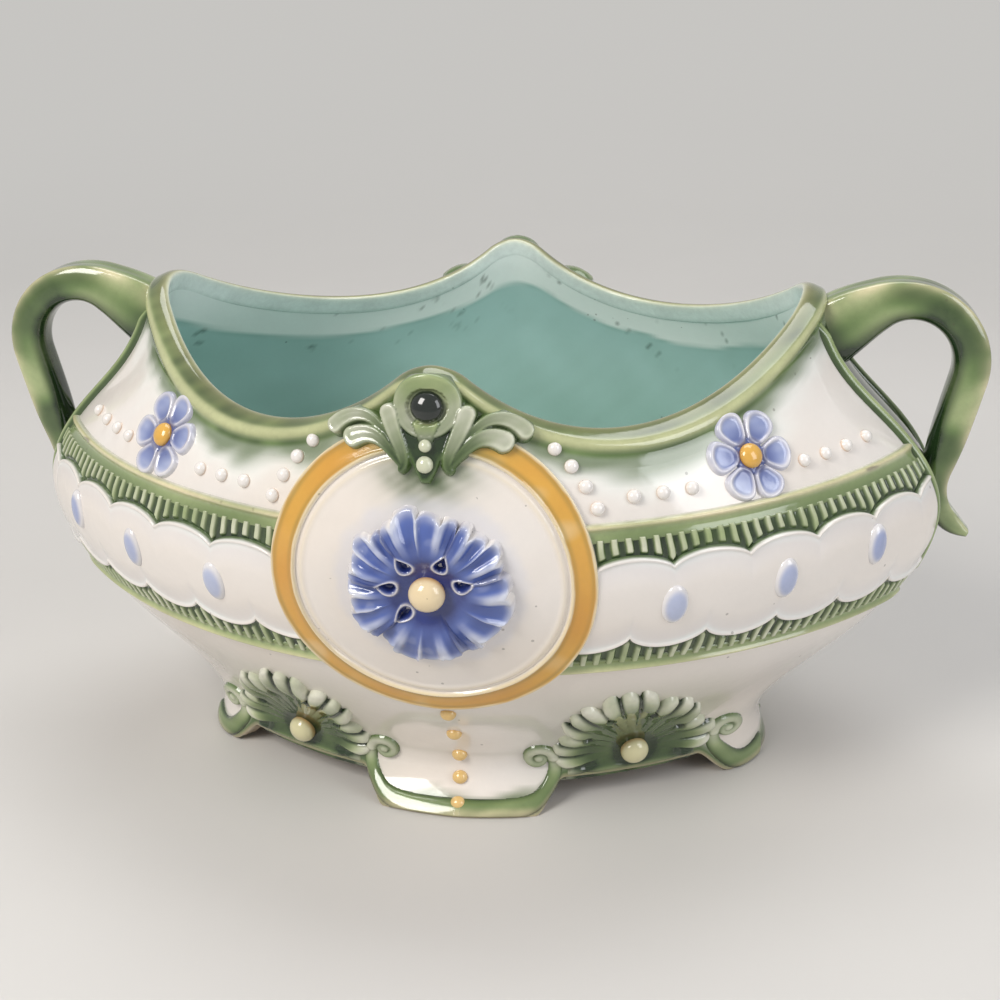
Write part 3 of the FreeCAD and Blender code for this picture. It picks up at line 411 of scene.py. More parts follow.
def surface(angle, level, relief=0.0, signs=(1, -1)):
    """Point of the bowl's outside, moved out along its normal by a relief, and the normal.

    The normal leans by the rate at which the section's support grows with the level.
    """
    angle, level = np.broadcast_arrays(np.asarray(angle, float), np.asarray(level, float))
    step = 0.2
    x, y = plan(angle, level)
    cos, sin = np.cos(angle), np.sin(angle)
    higher, lower = plan(angle, level + step), plan(angle, level - step)
    lean = ((higher[0] - lower[0]) * cos + (higher[1] - lower[1]) * sin) / (2 * step)
    scale = 1 / np.sqrt(1 + lean**2)
    normal = np.stack([signs[0] * cos * scale, signs[1] * sin * scale, -lean * scale], axis=-1)
    point = np.stack([signs[0] * x, signs[1] * y, level + 0 * x], axis=-1)
    return point + normal * np.asarray(relief, float)[..., None], normal


def front(x, level, relief=0.0, side=-1):
    """Point of the front, or of the back, at a signed distance from the middle, and the normal there."""
    x = np.asarray(x, float)
    sign = np.where(x < 0, -1.0, 1.0)
    point, normal = surface(angle_of_x(np.abs(x), level), level, relief, (1, side))
    point, normal = point.copy(), normal.copy()
    point[..., 0] *= sign
    normal[..., 0] *= sign
    return point, normal


def skins(lay, across, level, relief, depth, *side):
    """Front and back of a relief: points laid by surface or front, raised by it and sunk by a depth."""
    top = lay(across, level, relief, *side)[0]
    back = lay(across, level, np.full(relief.shape, -depth), *side)[0]
    return top, back


def lip_level(x):
    """Level of the waved lip: a peak's arc between two dips' arcs, tangent to each other."""
    x = np.abs(x)
    peak, dip, offset, crown = mm("peak_level"), mm("dip_level"), mm("dip_offset"), mm("peak_radius")
    reach = (offset**2 + (peak - dip)**2) / (2 * (peak - dip))
    sag = reach - crown
    on_peak = peak - crown + np.sqrt(np.maximum(crown**2 - x**2, 0))
    on_dip = dip + sag - np.sqrt(np.maximum(sag**2 - (x - offset)**2, 0))
    return np.where(x < offset * crown / reach, on_peak, on_dip)


def arch_level(x):
    """Level of the foot's lower edge: the table at the feet, and an arch between them."""
    x = np.abs(x)
    return ARCH_RISE * smooth(*INNER_FOOT, x) * smooth(*OUTER_FOOT, x)


def around(count):
    """Shares and mirror signs of columns once round the bowl, from the right end over the front."""
    turn = np.arange(count) / count * 4
    quarter, share = np.floor(turn).astype(int), turn % 1
    share = np.where(quarter % 2 == 1, 1 - share, share)
    signs_x = np.where((quarter == 0) | (quarter == 3), 1.0, -1.0)
    signs_y = np.where(quarter < 2, -1.0, 1.0)
    return share, signs_x, signs_y


def ring(shares, signs_x, signs_y, level, relief):
    """One row of points round the bowl at a level of its own for each column."""
    point = surface(angle_of_share(shares, level), level, relief, (1, 1))[0]
    return point * np.stack([signs_x, signs_y, np.ones_like(signs_x)], axis=-1)


def lip_row(columns):
    """Columns once round the bowl and the level of the lip in each, found by repeated averaging."""
    shares, signs_x, signs_y = around(columns)
    top = np.full(columns, mm("dip_level"))
    for _ in range(16):
        top = 0.5 * top + 0.5 * lip_level(ring(shares, signs_x, signs_y, top, np.zeros(columns))[:, 0])
    return shares, signs_x, signs_y, top


def quads(rows, columns, wrap_rows=False, wrap_columns=False):
    """Corner numbers of a grid's faces."""
    row = np.arange(rows if wrap_rows else rows - 1)[:, None]
    column = np.arange(columns if wrap_columns else columns - 1)[None, :]
    up, right = (row + 1) % rows, (column + 1) % columns
    corners = [row * columns + column, row * columns + right, up * columns + right, up * columns + column]
    return np.stack([np.broadcast_to(c, (row.size, column.size)) for c in corners], axis=-1).reshape(-1, 4)


def piece_mesh(name, points, faces, colours, pool_and_shade):
    """Object from corner points in millimetres, faces of three or more corners, colours, and pooling with
    painted shade.
    """
    mesh = bpy.data.meshes.new(name)
    corners = np.concatenate([np.asarray(f).ravel() for f in faces]).astype(np.int32)
    counts = np.concatenate([np.full(len(f), np.asarray(f).shape[1]) for f in faces]).astype(np.int32)
    starts = np.concatenate([[0], np.cumsum(counts)[:-1]]).astype(np.int32)
    mesh.vertices.add(len(points))
    mesh.vertices.foreach_set("co", (np.asarray(points) * MM).astype(np.float32).ravel())
    mesh.loops.add(len(corners))
    mesh.loops.foreach_set("vertex_index", corners)
    mesh.polygons.add(len(starts))
    mesh.polygons.foreach_set("loop_start", starts)
    mesh.polygons.foreach_set("use_smooth", np.ones(len(starts), bool))
    mesh.update(calc_edges=True)
    if mesh.validate():
        raise RuntimeError(f"{name} has broken faces")
    tint = np.concatenate([np.asarray(colours), np.ones((len(points), 1))], axis=1).astype(np.float32)
    glaze_layer = mesh.attributes.new("glaze", "FLOAT_COLOR", "POINT")
    glaze_layer.data.foreach_set("color", tint.ravel())
    pool_and_shade_layer = mesh.attributes.new("pool_and_shade", "FLOAT", "POINT")
    pool_and_shade_layer.data.foreach_set("value", np.asarray(pool_and_shade, np.float32).ravel())
    piece = bpy.data.objects.new(name, mesh)
    bpy.context.scene.collection.objects.link(piece)
    return piece


def outward(points, faces):
    """The faces, all turned round if they enclose a negative volume."""
    volume = 0.0
    for group in faces:
        first = points[group[:, 0]]
        for n in range(1, group.shape[1] - 1):
            volume += np.einsum("ij,ij->", first, np.cross(points[group[:, n]], points[group[:, n + 1]]))
    return faces if volume > 0 else [group[:, ::-1] for group in faces]


class Parts:
    """Closed shells of one piece, gathered into one mesh."""

    def __init__(self):
        self.points, self.faces, self.colours, self.pools, self.count = [], [], [], [], 0

    def add(self, points, faces, colours, pool_and_shade):
        """Takes in one closed shell, with its faces turned outwards."""
        points = np.asarray(points).reshape(-1, 3)
        faces = outward(points, faces)
        self.points.append(points)
        self.faces += [np.asarray(group) + self.count for group in faces]
        self.colours.append(np.broadcast_to(colours, points.shape).reshape(-1, 3))
        self.pools.append(np.broadcast_to(pool_and_shade, points.shape[:1]).ravel())
        self.count += len(points)

    def slab(self, top, back, colours, pool_and_shade, backs=6):
        """Rectangular grid with a front and a back of fewer rows, closed round its border."""
        rows, columns = top.shape[:2]
        kept = np.linspace(0, rows - 1, backs).round().astype(int)
        size = rows * columns
        index = np.arange(size).reshape(rows, columns)
        behind = size + np.arange(backs * columns).reshape(backs, columns)
        low = np.stack([index[0, 1:], index[0, :-1], behind[0, :-1], behind[0, 1:]], axis=-1)
        high = np.stack([index[-1, :-1], index[-1, 1:], behind[-1, 1:], behind[-1, :-1]], axis=-1)
        faces = [quads(rows, columns), quads(backs, columns)[:, ::-1] + size, low, high]
        for n, (start, stop) in enumerate(zip(kept, kept[1:])):
            faces.append(np.concatenate([index[start:stop + 1, 0], behind[[n + 1, n], 0]])[None])
            faces.append(np.concatenate([index[start:stop + 1, -1][::-1], behind[[n, n + 1], -1]])[None])
        points = np.concatenate([top.reshape(-1, 3), back[kept].reshape(-1, 3)])
        colours = np.broadcast_to(colours, top.shape)
        pool_and_shade = np.broadcast_to(pool_and_shade, top.shape[:2])
        self.add(points, faces, np.concatenate([colours.reshape(-1, 3), colours[kept].reshape(-1, 3)]),
                 np.concatenate([pool_and_shade.ravel(), pool_and_shade[kept].ravel()]))

    def tube(self, rows, colours, pool_and_shade, first=None, last=None, wrap=False):
        """Rows of points that each run once round, closed at both ends by a pole or by wrapping."""
        count, columns = rows.shape[:2]
        points = rows.reshape(-1, 3)
        colours = np.broadcast_to(colours, rows.shape).reshape(-1, 3)
        pool_and_shade = np.broadcast_to(pool_and_shade, rows.shape[:2]).ravel()
        faces = [quads(count, columns, wrap_rows=wrap, wrap_columns=True)]
        across = np.arange(columns)
        for pole, row, flip in ((first, 0, True), (last, count - 1, False)):
            if pole is None:
                continue
            ring_index = row * columns + across
            fan = np.stack([ring_index, np.roll(ring_index, -1), np.full(columns, len(points))], axis=-1)
            faces.append(fan[:, ::-1] if flip else fan)
            points = np.concatenate([points, np.asarray(pole, float)[None]])
            colours = np.concatenate([colours, colours[ring_index].mean(0)[None]])
            pool_and_shade = np.concatenate([pool_and_shade, pool_and_shade[ring_index].mean()[None]])
        self.add(points, faces, colours, pool_and_shade)

    def finish(self, name, nodes, slot):
        """Makes the object, which stands for CAD nodes and takes its glaze from a slot."""
        points, colours, pool_and_shade = (np.concatenate(rows) for rows in (self.points, self.colours, self.pools))
        piece = piece_mesh(name, points, self.faces, colours, pool_and_shade)
        piece.data.materials.append(glaze(slot))
        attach(piece, "root")
        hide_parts(*nodes)


def mirrored(points, signs):
    """The front right piece's points in another quarter."""
    return points * np.array([signs[0], -signs[1], 1.0])


def quarter_pieces(ending, node, slot, slabs):
    """A piece in each quarter, of mirrored slabs that are given as front, back, colours and pooling."""
    for quarter, signs in QUARTERS.items():
        parts = Parts()
        for top, back, colour, pool_and_shade in slabs:
            parts.slab(mirrored(top, signs), mirrored(back, signs), colour, pool_and_shade)
        parts.finish(f"{quarter}_{ending}", [f"{quarter}_{node}"], slot)


def polar(radii, count):
    """Grids of radius and angle for rows of rings."""
    angle, radius = np.meshgrid(np.arange(count) / count * 2 * math.pi, radii)
    return radius, angle


def on_medallion(radius, angle):
    """Distances from the middle and levels of polar points about the medallion's middle."""
    return radius * np.cos(angle), mm("medallion_level") + radius * np.sin(angle)


def stroke(x, z, path, widths):
    """Height of a rounded stroke along a path, how far along it points lie, and how far beyond its edge.

    Each point takes the path's nearest piece. The height is a half round of the width there, with
    0 outside, and the share runs from 0 at the path's start to 1 at its end.
    """
    path, widths = np.asarray(path, float), np.asarray(widths, float)
    height, share = np.zeros(x.shape), np.zeros(x.shape)
    best = np.full(x.shape, np.inf)
    count = len(path) - 1
    for n in range(count):
        start, run = path[n], path[n + 1] - path[n]
        at = unit(((x - start[0]) * run[0] + (z - start[1]) * run[1]) / (run @ run))
        far = np.hypot(x - start[0] - at * run[0], z - start[1] - at * run[1])
        width = widths[n] + (widths[n + 1] - widths[n]) * at
        nearer = far - width < best
        best = np.where(nearer, far - width, best)
        height = np.where(nearer, np.sqrt(np.maximum(1 - (far / width)**2, 0)) * width, height)
        share = np.where(nearer, (n + at) / count, share)
    return height, share, best


def bezier(points, count):
    """Points along the curve that a list of control points bends."""
    points = np.asarray(points, float)
    at = np.linspace(0, 1, count)[:, None]
    while len(points) > 1:
        points = [a * (1 - at) + b * at for a, b in zip(points, points[1:])]
    return points[0]


def volute(middle, turn, count, radius=3.9, turns=1.25, eye=0.2):
    """Points of a spiral from its outside to its eye, which is a share of its radius."""
    share = np.linspace(0, 1, count)
    angle = share * turns * 2 * math.pi
    reach = radius * (1 - (1 - eye) * share)
    return np.stack([middle + turn * reach * np.cos(angle), VOLUTE_LEVEL + reach * np.sin(angle)], axis=-1)


def fired_glaze():
    """Node group of the shared look: painted ground, a deeper colour for pooled glaze and painted shade,
    mottling, specks, ripple.
    """
    group = bpy.data.node_groups.get("Fired glaze")
    if group:
        return group
    group = bpy.data.node_groups.new("Fired glaze", "ShaderNodeTree")
    for name, kind in (("Ground", "NodeSocketColor"), ("Deep", "NodeSocketColor"),
                       ("Pool and shade", "NodeSocketFloat"), ("Mottle", "NodeSocketFloat"),
                       ("Specks", "NodeSocketFloat")):
        group.interface.new_socket(name, in_out="INPUT", socket_type=kind)
    for name, kind in (("Base Color", "NodeSocketColor"), ("Roughness", "NodeSocketFloat"),
                       ("Height", "NodeSocketFloat")):
        group.interface.new_socket(name, in_out="OUTPUT", socket_type=kind)
    nodes, links = group.nodes, group.links
    given = nodes.new("NodeGroupInput")
    result = nodes.new("NodeGroupOutput")
    place = nodes.new("ShaderNodeTexCoord")

    def noise(scale, detail, roughness=0.55):
        node = nodes.new("ShaderNodeTexNoise")
        node.inputs["Scale"].default_value = scale
        node.inputs["Detail"].default_value = detail
        node.inputs["Roughness"].default_value = roughness
        links.new(place.outputs["Object"], node.inputs["Vector"])
        return node.outputs["Fac"]

    def feed(socket, value):
        if isinstance(value, (int, float, tuple)):
            socket.default_value = value
        else:
            links.new(value, socket)

    def maths(kind, first, second, clamp=False):
        node = nodes.new("ShaderNodeMath")
        node.operation = kind
        node.use_clamp = clamp
        feed(node.inputs[0], first)
        feed(node.inputs[1], second)
        return node.outputs[0]

    def mix(first, second, share, kind="MIX"):
        node = nodes.new("ShaderNodeMix")
        node.data_type = "RGBA"
        node.blend_type = kind
        feed(node.inputs[0], share)
        feed(node.inputs[6], first)
        feed(node.inputs[7], second)
        return node.outputs[2]

    cloud = noise(70.0, 3.0)
    grain = noise(620.0, 4.0, 0.65)
    flow = maths("ADD", maths("MULTIPLY", cloud, 1.1), maths("MULTIPLY", grain, 0.5))
    depth = maths("MULTIPLY", given.outputs["Pool and shade"], maths("ADD", flow, 0.25), clamp=True)
    body = mix(given.outputs["Ground"], given.outputs["Deep"], depth)
    swing = maths("SUBTRACT", maths("ADD", maths("MULTIPLY", cloud, 0.6), maths("MULTIPLY", grain, 0.4)), 0.5)
    shade = maths("ADD", maths("MULTIPLY", swing, given.outputs["Mottle"]), 1.0)
    tone = nodes.new("ShaderNodeCombineColor")
    for socket in tone.inputs[:3]:
        links.new(shade, socket)
    mottled = mix(body, tone.outputs[0], 1.0, "MULTIPLY")
    cells = nodes.new("ShaderNodeTexVoronoi")
    cells.inputs["Scale"].default_value = 210.0
    links.new(place.outputs["Object"], cells.inputs["Vector"])
    rare = maths("GREATER_THAN", noise(46.0, 2.0), 0.56)
    dot = maths("LESS_THAN", cells.outputs["Distance"], maths("MULTIPLY", rare, 0.085))
    specked = mix(mottled, SPECK_COLOUR, maths("MULTIPLY", dot, given.outputs["Specks"]))
    links.new(specked, result.inputs["Base Color"])
    links.new(maths("ADD", maths("MULTIPLY", grain, 0.10), 0.07), result.inputs["Roughness"])
    links.new(maths("ADD", maths("MULTIPLY", noise(150.0, 2.0), 0.7), maths("MULTIPLY", grain, 0.12)),
              result.inputs["Height"])
    return group


def glaze(slot):
    """Glossy material of a slot. It reads the piece's painted ground and its pooling with painted shade."""
    name = f"fired_{slot}"
    material = bpy.data.materials.get(name)
    if material:
        return material
    deep, mottle, specks = GLAZES[slot]
    material = bpy.data.materials.new(name)
    material.use_nodes = True
    nodes, links = material.node_tree.nodes, material.node_tree.links
    nodes.clear()
    output = nodes.new("ShaderNodeOutputMaterial")
    shader = nodes.new("ShaderNodeBsdfPrincipled")
    fired = nodes.new("ShaderNodeGroup")
    fired.node_tree = fired_glaze()
    ground = nodes.new("ShaderNodeAttribute")
    ground.attribute_name = "glaze"
    pool_and_shade = nodes.new("ShaderNodeAttribute")
    pool_and_shade.attribute_name = "pool_and_shade"
    bump = nodes.new("ShaderNodeBump")
    fired.inputs["Deep"].default_value = (*paint(deep), 1.0)
    fired.inputs["Mottle"].default_value = mottle
    fired.inputs["Specks"].default_value = specks
    bump.inputs["Strength"].default_value = 0.22
    bump.inputs["Distance"].default_value = 0.0006
    shader.inputs["Coat Weight"].default_value = 0.5
    shader.inputs["Coat Roughness"].default_value = 0.05
    links.new(ground.outputs["Color"], fired.inputs["Ground"])
    links.new(pool_and_shade.outputs["Fac"], fired.inputs["Pool and shade"])
    links.new(fired.outputs["Base Color"], shader.inputs["Base Color"])
    links.new(fired.outputs["Roughness"], shader.inputs["Roughness"])
    links.new(fired.outputs["Height"], bump.inputs["Height"])
    links.new(bump.outputs["Normal"], shader.inputs["Normal"])
    links.new(shader.outputs[0], output.inputs["Surface"])
    return material


def washed(colour, points, below_lip):
    """Ground colour with the rim's green run down over it, and the strength of the run.

    The run is a step of the drop from the lip, shifted by a slow wander, with a paler wash beyond it.
    """
    wander = drift(points, 9.0)
    bleed = smooth(11.5, 5.5, below_lip + 2.2 * wander)
    colour = coat(colour, "celadon", 0.45 * smooth(17.0, 8.0, below_lip + 3.0 * wander))
    return coat(colour, "green", 0.75 * bleed), bleed


def bowl_rows(columns):
    """Rows of the bowl, the zone of each row, and the levels of the lip and the foot in each column."""
    shares, signs_x, signs_y, top = lip_row(columns)
    foot = arch_level(ring(shares, signs_x, signs_y, np.full(columns, 3.0), np.zeros(columns))[:, 0])
    wall, floor, hollow = mm("wall"), mm("floor_level"), mm("hollow_level")
    rows, zones = [], []

    def row(level, relief, share=1.0, zone="out"):
        level = np.broadcast_to(np.asarray(level, float), (columns,))
        points = ring(shares, signs_x, signs_y, level, np.broadcast_to(relief, (columns,)))
        points[:, 2] = level
        rows.append(points * np.array([share, share, 1.0]))
        zones.append(zone)

    for share in (0.35, 0.75, 0.97):
        row(hollow, -FOOT_RIM, share, "under")
    for step in np.linspace(0, 1, 5):
        row(hollow - 0.3 + (foot + 0.3 - hollow) * step, -FOOT_RIM, 1.0, "under")
    for relief in (-5.4, -3.0, -0.8):
        row(foot, relief, 1.0, "under")
    edge, lip = foot + FOOT_ROUND, top - wall / 2
    row(edge, -0.15)
    for step in np.linspace(0, 1, 88)[1:]:
        row(edge + (lip - edge) * step, 0.0)
    for angle in np.linspace(0, math.pi, 11)[1:-1]:
        row(lip + wall / 2 * math.sin(angle), wall / 2 * (math.cos(angle) - 1), 1.0, "lip")
    for step in np.linspace(0, 1, 80):
        row(lip + (floor + 5 - lip) * step, -wall, 1.0, "in")
    for rise, share in ((2.4, 0.985), (0.8, 0.955), (0.1, 0.91)):
        row(floor + rise, -wall, share, "in")
    for share in (0.8, 0.6, 0.4, 0.2, 0.07):
        row(floor, -wall, share, "in")
    return np.array(rows), np.array(zones)[:, None], top, foot


def inside_glaze_and_shade(points, below_lip):
    """Colours of the inside: a pale band down to a wandering line, which is painted light on the inner neck,
    and under it the turquoise inside glaze with painted shade that darkens downwards and along the line, and
    dark flecks near the lip."""
    # The pale band's lower line is painted: light above it, shade below it.
    shadow_line = below_lip + 1.3 * drift(points, 19.0, 5.0)
    depth = smooth(13.2, 14.2, shadow_line)
    colour = coat(paint("celadon"), "turquoise", depth)
    shade = unit(0.9 * smooth(112, 60, points[..., 2]) + 0.10 * drift(points, 9.0))
    colour = coat(colour, "inside_shade", shade * depth)
    colour = coat(colour, "inside_shade", 0.35 * np.exp(-((shadow_line - 14.0) / 0.7)**2))
    fleck = smooth(0.42, 0.62, drift(points, 2.6, 4.0) * drift(points, 14.0, 8.0))
    return coat(colour, "deep", 0.55 * fleck * smooth(26.0, 16.0, below_lip))


def build_bowl():
    """Bowl: rows round the axis from under the floor, down the foot rim, up the outside, over the lip,
    down the inside and in across the floor. Each row is the section at a level of its own in each
    column, moved in by the wall, so the surface is a function of the turn and the way up."""
    rows, zone, top, foot = bowl_rows(480)
    x, y, z = np.abs(rows[..., 0]), np.abs(rows[..., 1]), rows[..., 2]
    outside = zone == "out"
    below_lip, above_foot = top - z, z - foot
    far_below = 99.0
    colour = white_ground(rows, 0.35, 30.0, 2.0)
    colour, bleed = washed(colour, rows, np.where(outside, below_lip, far_below))
    # End panels beside the handles: their green is the glaze, and the deep pooling they get below is painted
    # shade.
    end_panel = smooth(11.0, 9.5, y) * smooth(55, 59, z) * (x > 70) * outside
    edge = smooth(6.0, 2.6, above_foot + 1.4 * drift(rows, 9.0)) * outside
    stain = np.exp(-((x - 47) / 26)**4 - ((z - 24) / 20)**4) * (y > 30) * outside
    colour = coat(colour, "green", end_panel)
    colour = coat(colour, "green", edge)
    colour = coat(colour, "cream", 0.8 * smooth(1.0, 0.5, above_foot) * outside)
    colour = coat(colour, "green", 0.25 * stain)
    colour = coat(colour, "olive", 0.8 * (zone == "lip"))
    colour = blend(colour, inside_glaze_and_shade(rows, below_lip), zone == "in")
    colour = coat(colour, "biscuit", zone == "under")
    pool_and_shade = 0.30 * bleed + 0.40 * edge + 0.9 * end_panel
    parts = Parts()
    parts.tube(rows, colour, pool_and_shade, first=(0, 0, mm("hollow_level")), last=(0, 0, mm("floor_level")))
    parts.finish("Bowl", ["bowl"], "white_glaze")


def build_rim():
    """Rim moulding: a closed profile of relief against the drop from the lip, carried along the wave.

    A flat top slopes to a round ridge, and a soft hollow runs out under it.
    """
    columns, count = 960, len(RIM_PROFILE)
    shares, signs_x, signs_y, top = lip_row(columns)
    closed = np.concatenate([RIM_PROFILE, RIM_PROFILE[:1]])
    profile = through(closed, np.linspace(0, count, 4 * count, endpoint=False))
    rows = []
    for relief, drop in profile[:, :2]:
        points = ring(shares, signs_x, signs_y, top - drop, np.zeros(columns))
        flat = ring(shares, signs_x, signs_y, top - drop, np.ones(columns)) - points
        flat[:, 2] = 0
        flat /= np.linalg.norm(flat, axis=1)[:, None]
        rows.append(points + flat * relief)
    rows = np.array(rows)
    weights = unit(profile[:, 2:6])
    weights /= weights.sum(1)[:, None]
    ridge = coat(paint("cream"), "leaf", 0.7)
    tints = np.array([paint("olive"), ridge, paint("green"), paint("celadon")])
    colour = np.broadcast_to((weights @ tints)[:, None], rows.shape)
    colour = coat(colour, "leaf", 0.2 * wear(rows, 11.0, 1.0) * (1 - weights[:, 3:]))
    below_lip = np.broadcast_to(profile[:, 1:2], rows.shape[:2])
    ground, bleed = washed(white_ground(rows, 0.35, 30.0, 2.0), rows, below_lip)
    skirt = smooth(4.4, 6.4, below_lip) * (profile[:, :1] > -1.0)
    pool_and_shade = unit(profile[:, 6:]) * (0.7 + 0.6 * drift(rows, 7.0, 3.0))
    parts = Parts()
    parts.tube(rows, blend(colour, ground, skirt), unit(blend(pool_and_shade, 0.30 * bleed, skirt)), wrap=True)
    parts.finish("Rim_moulding", ["rim_moulding"], "green_glaze")


def handle_line(count, tail_bend, tail_tip):
    """Middle line of a handle in its upright plane: out of the neck, round the bow, down the leg and
    along the tail's bend to its tip. Points and the in-plane half thickness and half width at each."""
    bow = mm("handle_bow")
    outwards = np.array([math.cos(BOW_RISE), math.sin(BOW_RISE)])
    start = BOW_MIDDLE + bow * np.array([-outwards[1], outwards[0]])
    neck = bezier([start + HANDLE_ROOT, start - 9.0 * outwards, start], 14)
    angle = np.linspace(math.pi / 2 + BOW_RISE, -LEG_LEAN, 40)
    arc = BOW_MIDDLE + bow * np.stack([np.cos(angle), np.sin(angle)], axis=-1)
    leg_end = arc[-1] - LEG_LENGTH * np.array([math.sin(LEG_LEAN), math.cos(LEG_LEAN)])
    tail = bezier([leg_end, leg_end + np.array([-1.6, -7.0]), tail_bend, tail_tip], 16)
    path = np.concatenate([neck[:-1], arc, np.linspace(arc[-1], leg_end, 14)[1:], tail[1:]])
    way = np.concatenate([[0], np.cumsum(np.linalg.norm(np.diff(path, axis=0), axis=1))])
    share = np.linspace(0, 1, count)
    line = np.stack([np.interp(share * way[-1], way, column) for column in path.T], axis=-1)
    thick = spline(np.array([0, 0.1, 0.19, 0.3, 0.46, 0.62, 0.74, 0.83, 0.90, 0.96, 1.0]),
                   np.array([9.6, 8.4, 6.3, 5.0, 4.8, 4.8, 4.3, 3.2, 3.0, 2.6, 1.1]))(share)
    spare = np.interp(share, [0, 0.1, 0.25, 0.7, 0.86, 1.0], [1.35, 0.75, 0.15, 0.0, -0.65, -2.25])
    return line, share, thick, mm("handle_width") / 2 + spare


def build_handles():
    """Handles: a rounded rectangle with two raised edges on its outer face, carried along the middle line
    with its own thickness and width at each step. The right tail stands off the bowl, and the left one lies
    against it."""
    count, columns = 240, 64
    angle = np.arange(columns) / columns * 2 * math.pi
    cos, sin = np.cos(angle), np.sin(angle)
    square = (np.abs(cos)**3 + np.abs(sin)**3)**(-1 / 3)
    across, side = cos * square, sin * square
    ridge = np.exp(-((np.abs(side) - 0.76) / 0.17)**2) * smooth(0.0, 0.5, across)
    hollow = np.exp(-(side / 0.42)**2) * smooth(0.2, 0.8, across)
    inside = smooth(-0.2, -0.85, across)
    for name, (sign, bend, tip) in HANDLE_TAILS.items():
        line, share, thick, wide = handle_line(count, bend, tip)
        ahead = np.gradient(line, axis=0)
        ahead /= np.linalg.norm(ahead, axis=1)[:, None]
        reach = thick[:, None] * across + (0.55 * ridge - 0.4 * hollow) * smooth(1.0, 0.85, share)[:, None]
        x, z = line[:, :1] - ahead[:, 1:] * reach, line[:, 1:] + ahead[:, :1] * reach
        x = np.maximum(x, half_length(np.clip(z, 40, 136)) - 0.75 * mm("wall"))
        rows = np.stack([x, wide[:, None] * side, z], axis=-1)
        worn, streak = wear(rows, 13.0, 4.0), wear(rows, 6.0, 8.0)
        root = smooth(0.10, 0.02, share)[:, None]
        thin = unit(0.05 + 0.6 * smooth(0.4, 0.9, worn) + 0.3 * ridge * streak)
        colour = coat(paint("green"), "leaf", thin)
        # Cream along the two raised edges is partly the pale glaze there and partly a painted highlight.
        colour = coat(colour, "cream", 0.7 * ridge * (0.2 + 0.8 * streak))
        colour = coat(colour, "olive", 0.45 * hollow * smooth(0.75, 0.2, worn))
        # The inner face's extra pooling (inside) is painted shade under the loop.
        pool_and_shade = unit(0.08 + 0.55 * smooth(0.6, 0.1, worn) + 0.65 * inside + 0.3 * root) * (1 - 0.75 * ridge)
        turned = np.array([sign, 1.0, 1.0])
        first = np.array([x[0].mean(), 0, line[0, 1]])
        last = np.array([x[-1].mean(), 0, line[-1, 1] - 0.3])
        parts = Parts()
        parts.tube(rows * turned, colour, pool_and_shade, first=first * turned, last=last * turned)
        parts.finish(f"{name.title()}_handle", [f"{name}_handle"], "green_glaze")


def girth():
    """Shares of a quarter's length at the girth, from the end, the points there, and the length."""
    share = np.linspace(0, 1, 2001)
    x, y = plan(angle_of_share(share, GIRTH_LEVEL), GIRTH_LEVEL)
    return share, x, y, np.sum(np.hypot(np.diff(x), np.diff(y)))


def strip(low, high, step, rows, first_x):
    """Angles and levels of a strip along the front right quarter between two levels for each column.

    The columns keep their share of the quarter's length, from the medallion to the border ridge.
    Returns the grids of angle and level, of the way along the girth from the first upper cusp, and of
    the share of the strip's height.
    """
    tries, x, y, length = girth()
    start, cusp = np.interp([-first_x, -FIRST_CUSP], -x, tries)
    stop = np.interp(BAND_END, y, tries)
    share = np.linspace(start, stop, int((start - stop) * length / step))
    way = (cusp - share) * length
    up = np.linspace(0, 1, rows)[:, None]
    level = low(way) + (high(way) - low(way)) * up + 0 * way
    angle = angle_of_share(np.broadcast_to(share, level.shape), level)
    return angle, level, np.broadcast_to(way, level.shape), np.broadcast_to(up, level.shape)


def lobe(share):
    """Outline of a round lobe over each whole share: 0 at the cusps and 1 between them."""
    return np.sqrt(np.maximum(1 - (2 * (share % 1) - 1)**2, 0))**1.3


def upper_edge(way):
    """Upper edge of the scalloped band: a round lobe over each pitch."""
    return UPPER_CUSPS + UPPER_LOBE * lobe(way / mm("scallop_pitch"))


def lower_edge(way):
    """Lower edge of the scalloped band: the lobes hang, half a pitch further on."""
    return LOWER_CUSPS - LOWER_LOBE * lobe(way / mm("scallop_pitch") + 0.5)


def outside_medallion(points):
    """Distance of points beyond the medallion's ring, seen from the front."""
    return np.hypot(points[..., 0], points[..., 2] - mm("medallion_level")) - mm("medallion_radius")


def sunk(relief, points):
    """Relief that dips under the bowl's skin inside the medallion."""
    return np.where(outside_medallion(points) < -0.5, np.minimum(relief, -0.7), relief)


